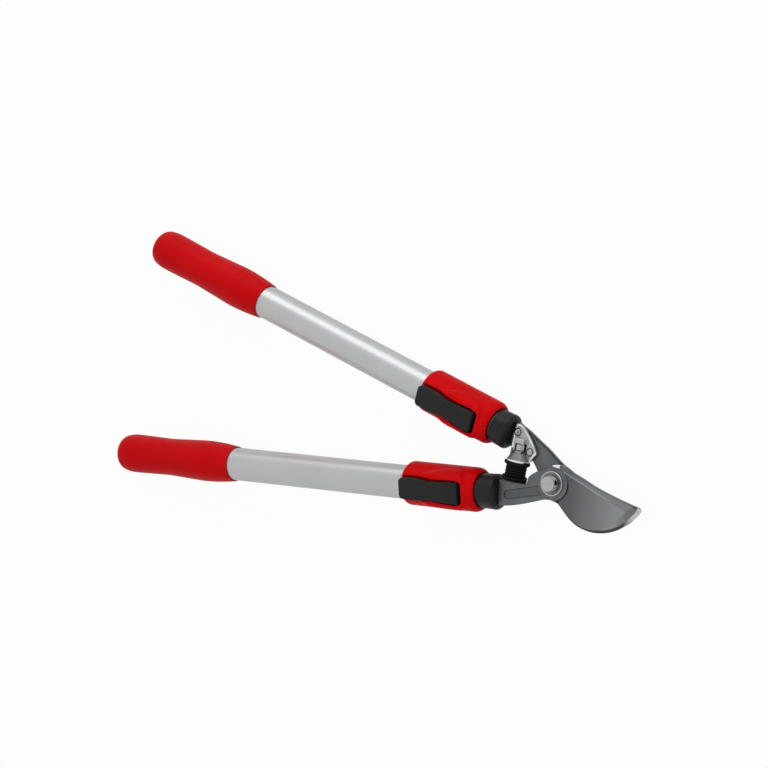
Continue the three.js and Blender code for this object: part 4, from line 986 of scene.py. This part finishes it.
# Hook and bumper bracket
hookShape = {
    "reach": 84, "drop": 31, "low": -5.15, "high": -0.15, "rim": 1.3,
    "back": [
        (0, -0.465), (0.1, -0.51), (0.19, -0.66), (0.285, -0.845), (0.38, -0.95), (0.48, -1), (0.58, -0.995),
        (0.69, -0.94), (0.79, -0.835), (0.88, -0.69), (0.95, -0.54),
    ],
    "tip": [(0.985, -0.44), (1, -0.37), (0.985, -0.335)],
    "throat": [
        (0.95, -0.35), (0.87, -0.42), (0.77, -0.54), (0.65, -0.62), (0.53, -0.6), (0.42, -0.5), (0.325, -0.3),
        (0.26, -0.05), (0.225, 0.17), (0.197, 0.41),
    ],
    "top": [(0.205, 0.255), (-0.01, 0.36), (-0.225, 0.482), (-0.44, 0.583), (-0.65, 0.684), (-0.78, 0.733)],
    "under": [
        (-0.75, 0.335), (-0.62, 0.315), (-0.5, 0.24), (-0.42, 0.165), (-0.36, 0.09), (-0.3, -0.02),
        (-0.25, -0.14), (-0.14, -0.235),
    ],
}
bracketShape = {
    "low": 0.15, "high": 2.75, "rimRise": 1.2, "rimWidth": 2.6,
    "right": [
        (-0.87, 0.755), (-0.787, 0.757), (-0.663, 0.672), (-0.542, 0.564), (-0.457, 0.462), (-0.406, 0.369),
        (-0.446, 0.305), (-0.5, 0.212),
    ],
    "left": [(-0.884, 0.255), (-0.879, 0.47), (-0.89, 0.63)],
    "rivets": [(-0.828, 0.631), (-0.54, 0.365)], "rivetHole": 2.1, "rivetSeat": 3.9, "seatDepth": 0.8,
    "dimples": (0.8, 0),  # how deep each rivet head is dished
    "axisX": -40.1, "axisZ": 4.6, "boltHole": 2.7,
    "bellFoot": 10.2, "bellBehind": 15.6,
    "bell": [  # height over the foot, radius
        (0, 10.3), (1.5, 10.3), (2, 9.7), (4.6, 8.3), (7.5, 6.6), (9.6, 5.4), (10.6, 3.6),
    ],
    "housing": (18, 31.6, 6.3, 4, 7.6), "housingRim": 1.3,  # start, end, left, right, height
    "groove": (18, 27, 4.2, 5.2, 0.9), "window": (20.9, 26.7, 4.25),
    "voxel": 0.25, "passes": 2,
}


def hookBody():
    s = hookShape
    reach = layout["headReach"]
    back = [*smooth(s["back"], s["reach"], s["drop"]), *scaled(s["tip"], s["reach"], s["drop"])]
    throat = smooth(s["throat"], s["reach"], s["drop"])
    top, under = smooth(s["top"], reach, reach)[1:], smooth(s["under"], reach, reach)
    outline = [*back, *throat, *top, *tangLine("upper"), *under]
    body = plate(outline, s["low"], s["high"], s["rim"], 3)
    holes = [shifted(rod(-20, 20, bracketShape["rivetHole"], "Z"), *place)
             for place in scaled(bracketShape["rivets"], reach, reach)]
    body = cut(body, rod(-20, 20, bladeShape["pivotHole"], "Z"), *holes, *tangHoles("upper"))
    # the bevelled rims take the blackened finish, painted shade along the edges
    for face in body.faces:
        face.material_index = 1 if 0.2 < abs(face.normal.z) < 0.975 else 0
    return body


def bracketLine(inset):
    s = bracketShape
    reach = layout["headReach"]
    points = [*smooth(s["right"], reach, reach)[1:], *scaled(s["left"], reach, reach)]
    middle = sum(points, Vector((0, 0))) / len(points)
    return [point + (middle - point).normalized() * inset for point in points]


def bracketBody():
    s = bracketShape
    reach = layout["headReach"]
    x, foot, top = s["axisX"], s["bellFoot"], s["high"]
    base = plate(bracketLine(0), s["low"], top)
    rim = cut(plate(bracketLine(0), s["low"], top + s["rimRise"]),
              plate(bracketLine(s["rimWidth"]), s["low"] - 1, top + 10))
    line = splinePoints([(foot + rise, radius) for rise, radius in s["bell"]], 4)
    bell = shifted(lathe([(foot, 0), *line, (line[-1].x, 0)], "Y"), x, 0, s["axisZ"])
    start, end, left, right, height = s["housing"]
    body = joined(base, rim, bell, block((x - left, start, 1), (x + right, end, height), s["housingRim"]))
    sill, head, half = s["window"]
    cutters = [
        block((x - 20, s["bellBehind"], -40), (x + 20, s["bellBehind"] + 60, s["low"])),
        block((x - half, sill, 0), (x + half, head, 40)),
        shifted(rod(-5, foot + 3, s["boltHole"], "Y"), x, 0, s["axisZ"]),
    ]
    for place in scaled(s["rivets"], reach, reach):
        cutters.append(shifted(rod(-20, 40, s["rivetHole"], "Z"), *place))
        cutters.append(shifted(rod(top - s["seatDepth"], 40, s["rivetSeat"], "Z"), *place))
    start, end, near, far, floor = s["groove"]  # a slot along the housing
    cutters.append(block((x + near, start, floor), (x + far, end, 40)))
    body = remeshed(cut(body, *cutters), s["voxel"], s["passes"])
    for face in body.faces:  # painted light: beyond its foot the bell takes the darker cast finish as painted shade, and the bell's foot and the rim take the bright finish as painted highlights
        middle = face.calc_center_median()
        fromAxis = (middle.x - x) ** 2 + (middle.z - s["axisZ"]) ** 2
        onBell = middle.y < foot + 10.8 and fromAxis < 10.7 ** 2 and middle.z > top + 0.2
        onRim = top + 0.8 < middle.z < top + 1.5 and face.normal.z > 0.4
        face.material_index = 0
        if onBell and middle.y > foot + 1.7:
            face.material_index = 2
        elif onBell or (onRim and (abs(middle.x - x) > 7 or middle.y > 33)):
            face.material_index = 1
    return body


bracketRivetShape = {
    "low": -5.45, "seat": 0.3, "shank": 1.8,
    "head": [  # rise, radius, share of the dimple
        (0, 3.1, 0), (0.7, 2.9, 0), (1.2, 2.2, 0), (1.2, 1.3, 0.3), (1.25, 0, 1),
    ],
    "tail": [(-1.1, 0), (-1, 2), (-0.5, 2.9), (0, 3.1)],
}


def bracketRivet(place, dimple):
    s = bracketRivetShape
    low, high = s["low"], bracketShape["high"] - s["seat"]
    head = splinePoints([(high + rise - dimple * share, radius) for rise, radius, share in s["head"]], 5)
    tail = splinePoints([(low + rise, radius) for rise, radius in s["tail"]], 5)
    return shifted(lathe([*tail, (low, s["shank"]), (high, s["shank"]), *head], "Z", 64), *place)


addPiece("hookArm", hookBody(), headFrame, ["hook_arm"], [hookSteel, blackened], 25)
addPiece("bumperBracket", bracketBody(), headFrame, ["bumper_bracket"], [castMetal, paintedHighlight, castDark],
         60)
rivetSpots = scaled(bracketShape["rivets"], layout["headReach"], layout["headReach"])
for i, (place, dimple) in enumerate(zip(rivetSpots, bracketShape["dimples"]), 1):
    rivet = bracketRivet(place, dimple)
    addPiece(f"bracketRivet{i}", rivet, headFrame, [f"bracket_rivet_{i}"], plated)
print("hook and bracket made")


# Bumper
bumperShape = {
    "top": 9.9, "height": 16.4, "flange": 11.9, "flangeHeight": 2.6, "body": 9.7, "ribDepth": 0.7, "ribs": 4,
    "rib": [(0.06, 0.75), (0.2, 0.15), (0.35, 0), (0.65, 0), (0.8, 0.15), (0.94, 0.75), (1, 1)],  # along, deep
    "bore": 2.7, "boreDepth": 13.4, "padThickness": 1.1, "padGap": 0.3,
    "boltSeat": 21.1, "boltReach": 0.8, "boltShank": 2.4, "hexRadius": 4, "hexHeight": 5,
    "boltDome": [(-1, 0), (-1, 4.6), (4.4, 4.6), (5, 3.4), (5, 0)],  # height over the seat, radius
}


def onBumper(bm):
    return shifted(bm, bracketShape["axisX"], 0, bracketShape["axisZ"])


def bumperBody():
    s = bumperShape
    top, bottom, flange = s["top"], s["top"] - s["height"], s["flange"]
    sill, under, floor = bottom + s["flangeHeight"], top - s["flangeHeight"], top - s["boreDepth"]
    pitch = (s["height"] - 2 * s["flangeHeight"]) / s["ribs"]
    lower = filleted([(bottom, 0), (bottom, flange, 1.5), (sill, flange, 0.8), (sill, 0)], 4)
    upper = filleted([
        (under, 0), (under, flange, 0.9), (top, flange, 0.5), (top, s["bore"], 0.3), (floor, s["bore"]),
    ], 4)
    line = [(bottom, 0), *lower[1:-1]]
    for i in range(s["ribs"]):
        line += [(sill + pitch * (i + along), s["body"] - s["ribDepth"] * deep) for along, deep in s["rib"]]
    return onBumper(lathe([*line, *upper[1:], (floor, 0)], "Y"))


# a thin black plate under the bumper; its dark line also stands for the shade under the bumper
def strikePad():
    s = bumperShape
    top = s["top"] - s["height"] - s["padGap"]
    return onBumper(rod(top - s["padThickness"], top, s["flange"], "Y", 0.3, 96))


def bumperBolt():
    s = bumperShape
    seat, end = s["boltSeat"], s["top"] - s["height"] * s["boltReach"]
    hexagon = plate(arcPoints(0, 0, s["hexRadius"], 0, 300, 5), seat, seat + s["hexHeight"])
    dome = lathe(filleted([(seat + rise, radius) for rise, radius in s["boltDome"]]), "Z", 64)
    head = moved(common(hexagon, dome), Matrix.Rotation(-pi / 2, 4, "X"))
    return onBumper(joined(head, rod(end, seat + 1, s["boltShank"], "Y", 0.3)))


addPiece("bumperBuffer", bumperBody(), headFrame, ["bumper"], rubber, 40)
addPiece("strikePad", strikePad(), headFrame, ["strike_pad"], satinBlack)
addPiece("bumperBolt", bumperBolt(), headFrame, ["bumper_bolt"], plated)


# Pivot
pivotShape = {
    "shoulder": 7.15, "face": 13.35, "end": -14.15,  # heights of the bolt
    "head": 7.5, "shank": 5.7, "chamfer": 0.7, "bevel": 0.25, "keyHole": 2.4, "keyDepth": 4, "keyTurn": 22,
    "threads": 8, "threadDepth": 0.55,
    "washer": [
        (5.85, 6), (5.85, 11.3), (6, 11.5), (6.5, 11.5), (6.85, 11.25), (7, 10.85), (6.95, 10.4), (6.7, 10),
        (6.45, 9.8), (6.45, 6),
    ],
    "washerHollow": 9.7,
    "backWasher": (-6.65, -5.45, 6, 10),  # low, high, inner and outer radius
    "nut": (-12.95, -6.95), "nutRadius": 8.7, "nutBore": 6,
    "nutDome": [(0, 7.6), (0.9, 8.8)],  # height from either face, radius
}


def pivotBolt():
    s = pivotShape
    end, shoulder, top, shank, head = s["end"], s["shoulder"], s["face"], s["shank"], s["head"]
    chamfer, bevel = s["chamfer"], s["bevel"]
    thread = []
    for i in range(s["threads"]):
        thread += [(end + 0.7 + i * 1.0, shank - s["threadDepth"]), (end + 1.2 + i * 1.0, shank)]
    rim = filleted([(0, 0), (top - chamfer, head, bevel), (top, head - chamfer, bevel), (top, 0)], 3)[1:]
    profile = [
        (end, 0), (end, shank - 1), *thread, (shoulder, shank), (shoulder, head - bevel),
        (shoulder + bevel, head), *rim,
    ]
    turn = Matrix.Rotation(radians(s["keyTurn"]), 4, "Z")
    key = moved(rod(head - s["keyDepth"], head + 2, s["keyHole"]), turn)
    body = cut(lathe(divided(profile, 0.7), "Z", 128), shifted(key, 0, 0, (shoulder + top) / 2))
    for face in body.faces:  # painted light: the drilled hole takes the blackened finish as painted shade, the chamfer the bright finish as a painted highlight, and the side a lighter, duller turned finish that paints the light falling on it
        middle = face.calc_center_median()
        fromAxis = middle.xy.length
        onChamfer = middle.z > top - chamfer - 0.1 and fromAxis > head - chamfer - 0.1
        face.material_index = 0
        if shoulder + 0.3 < middle.z < top - 0.3 and fromAxis < head - 0.15:
            face.material_index = 1
        elif onChamfer and face.normal.z < 0.97:
            face.material_index = 2
        elif shoulder < middle.z < top - 0.3:
            face.material_index = 3
    return body


def pivotWasher():
    s = pivotShape
    body = lathe(s["washer"], "Z", 128, ring=True)
    # the hollow inside the raised ring takes the darker cast finish, painted shade
    for face in body.faces:
        face.material_index = 1 if face.calc_center_median().xy.length < s["washerHollow"] else 0
    return body


def pivotNut():
    s = pivotShape
    low, high = s["nut"]
    hexagon = plate(arcPoints(0, 0, s["nutRadius"], 0, 300, 5), low, high)
    lower = [(low + rise, radius) for rise, radius in s["nutDome"]]
    upper = [(high - rise, radius) for rise, radius in reversed(s["nutDome"])]
    dome = lathe([(low, 0), *lower, *upper, (high, 0)], "Z", 96)
    return cut(common(hexagon, dome), rod(-30, 10, s["nutBore"], "Z", steps=96))


addPiece("pivotBolt", pivotBolt(), headFrame, ["pivot_bolt"], [plated, blackened, paintedHighlight, turnedSteelPaintedLight],
         25)
addPiece("pivotWasher", pivotWasher(), headFrame, ["pivot_washer"], [plated, castDark])
backWasher = ringRod(*pivotShape["backWasher"], "Z", 0.25, 128)
addPiece("backWasher", backWasher, headFrame, ["back_washer"], plated)
addPiece("pivotNut", pivotNut(), headFrame, ["pivot_nut"], plated, 25)
print("bumper and pivot made")


# Floor, light and camera
studio = {
    "floorSize": 6, "floorWhite": 0.78, "floorGlow": 0.955, "floorMirrored": 0.4,
    "skyLight": 0.42, "skySeen": 1.0, "skyMirrored": 0.78,
    "lamps": {  # place in metres, width and depth, power, seen in mirrors
        "key": ((-0.2, 1.3, 0.45), (2.6, 0.8), 8, True),
        "over": ((-0.1, 0, 2.2), (1.6, 1.6), 16, False),
    },
    "aim": (-0.2, 0, 0),
}


def rays(graph, name):
    return graph.node("ShaderNodeLightPath", output=name)


floorMaterial = bpy.data.materials.new("paleFloor")
graph = Graph(floorMaterial)
matt = graph.node("ShaderNodeBsdfDiffuse", {}, {"Color": (studio["floorWhite"],) * 3 + (1,)})
glow = graph.node("ShaderNodeEmission", {}, {"Color": (1, 1, 1, 1), "Strength": 1.0})
seen = (rays(graph, "Is Camera Ray") + rays(graph, "Is Transmission Ray")) * studio["floorGlow"]
mirrored = rays(graph, "Is Glossy Ray") * studio["floorMirrored"]
surface = graph.node("ShaderNodeMixShader", {}, {0: seen + mirrored, 1: matt, 2: glow})
graph.node("ShaderNodeOutputMaterial", {}, {"Surface": surface})
floorBm = bmesh.new()
bmesh.ops.create_grid(floorBm, x_segments=1, y_segments=1, size=studio["floorSize"])
floor = looseObject(floorBm, "floor")
floor.data.transform(Matrix.Translation((0, 0, cadBox[0][2] - 0.0002)))
floor.data.materials.append(floorMaterial)

world = bpy.data.worlds.new("studio")
bpy.context.scene.world = world
graph = Graph(world)
seen = (rays(graph, "Is Camera Ray") + rays(graph, "Is Transmission Ray")) * (studio["skySeen"] - studio["skyLight"])
strength = studio["skyLight"] + seen + rays(graph, "Is Glossy Ray") * (studio["skyMirrored"] - studio["skyLight"])
sky = graph.node("ShaderNodeBackground", {}, {"Color": (1, 1, 1, 1), "Strength": strength})
graph.node("ShaderNodeOutputWorld", {}, {"Surface": sky})

for name, (place, size, power, mirroring) in studio["lamps"].items():
    lampData = bpy.data.lights.new(name, "AREA")
    lampData.shape = "RECTANGLE"
    lampData.size, lampData.size_y = size
    lampData.energy = power
    lamp = bpy.data.objects.new(name, lampData)
    bpy.context.scene.collection.objects.link(lamp)
    lamp.location = place
    lamp.visible_glossy = mirroring
    lamp.rotation_euler = (Vector(studio["aim"]) - Vector(place)).to_track_quat("-Z", "Y").to_euler()

view = {  # fitted to the photograph; the focal length is in its pixels
    "turn": 35.03, "pitch": 2.45, "heading": 12.565, "place": (-0.15443, 0.08962, 2.4637),
    "focus": 2727.5, "photoWidth": 768, "sensor": 36,
}
turn, pitch = radians(view["turn"]), radians(view["pitch"])
acrossTurn = Matrix(((cos(turn), 0, -sin(turn)), (0, 1, 0), (sin(turn), 0, cos(turn))))
tilt = Matrix(((1, 0, 0), (0, cos(pitch), -sin(pitch)), (0, sin(pitch), cos(pitch))))
facing = Matrix.Rotation(radians(view["heading"]), 3, "Z") @ (tilt @ acrossTurn).transposed()
cameraData = bpy.data.cameras.new("camera")
cameraData.sensor_width = view["sensor"]
cameraData.lens = view["focus"] / view["photoWidth"] * cameraData.sensor_width
camera = bpy.data.objects.new("camera", cameraData)
bpy.context.scene.collection.objects.link(camera)
pivotHeight = Vector((0, 0, joints["pivot"]["pos_m"][2]))
camera.matrix_world = Matrix.Translation(facing @ Vector(view["place"]) + pivotHeight) @ facing.to_4x4()
bpy.context.scene.camera = camera
bpy.context.scene.view_settings.view_transform = "Standard"
print("studio made")
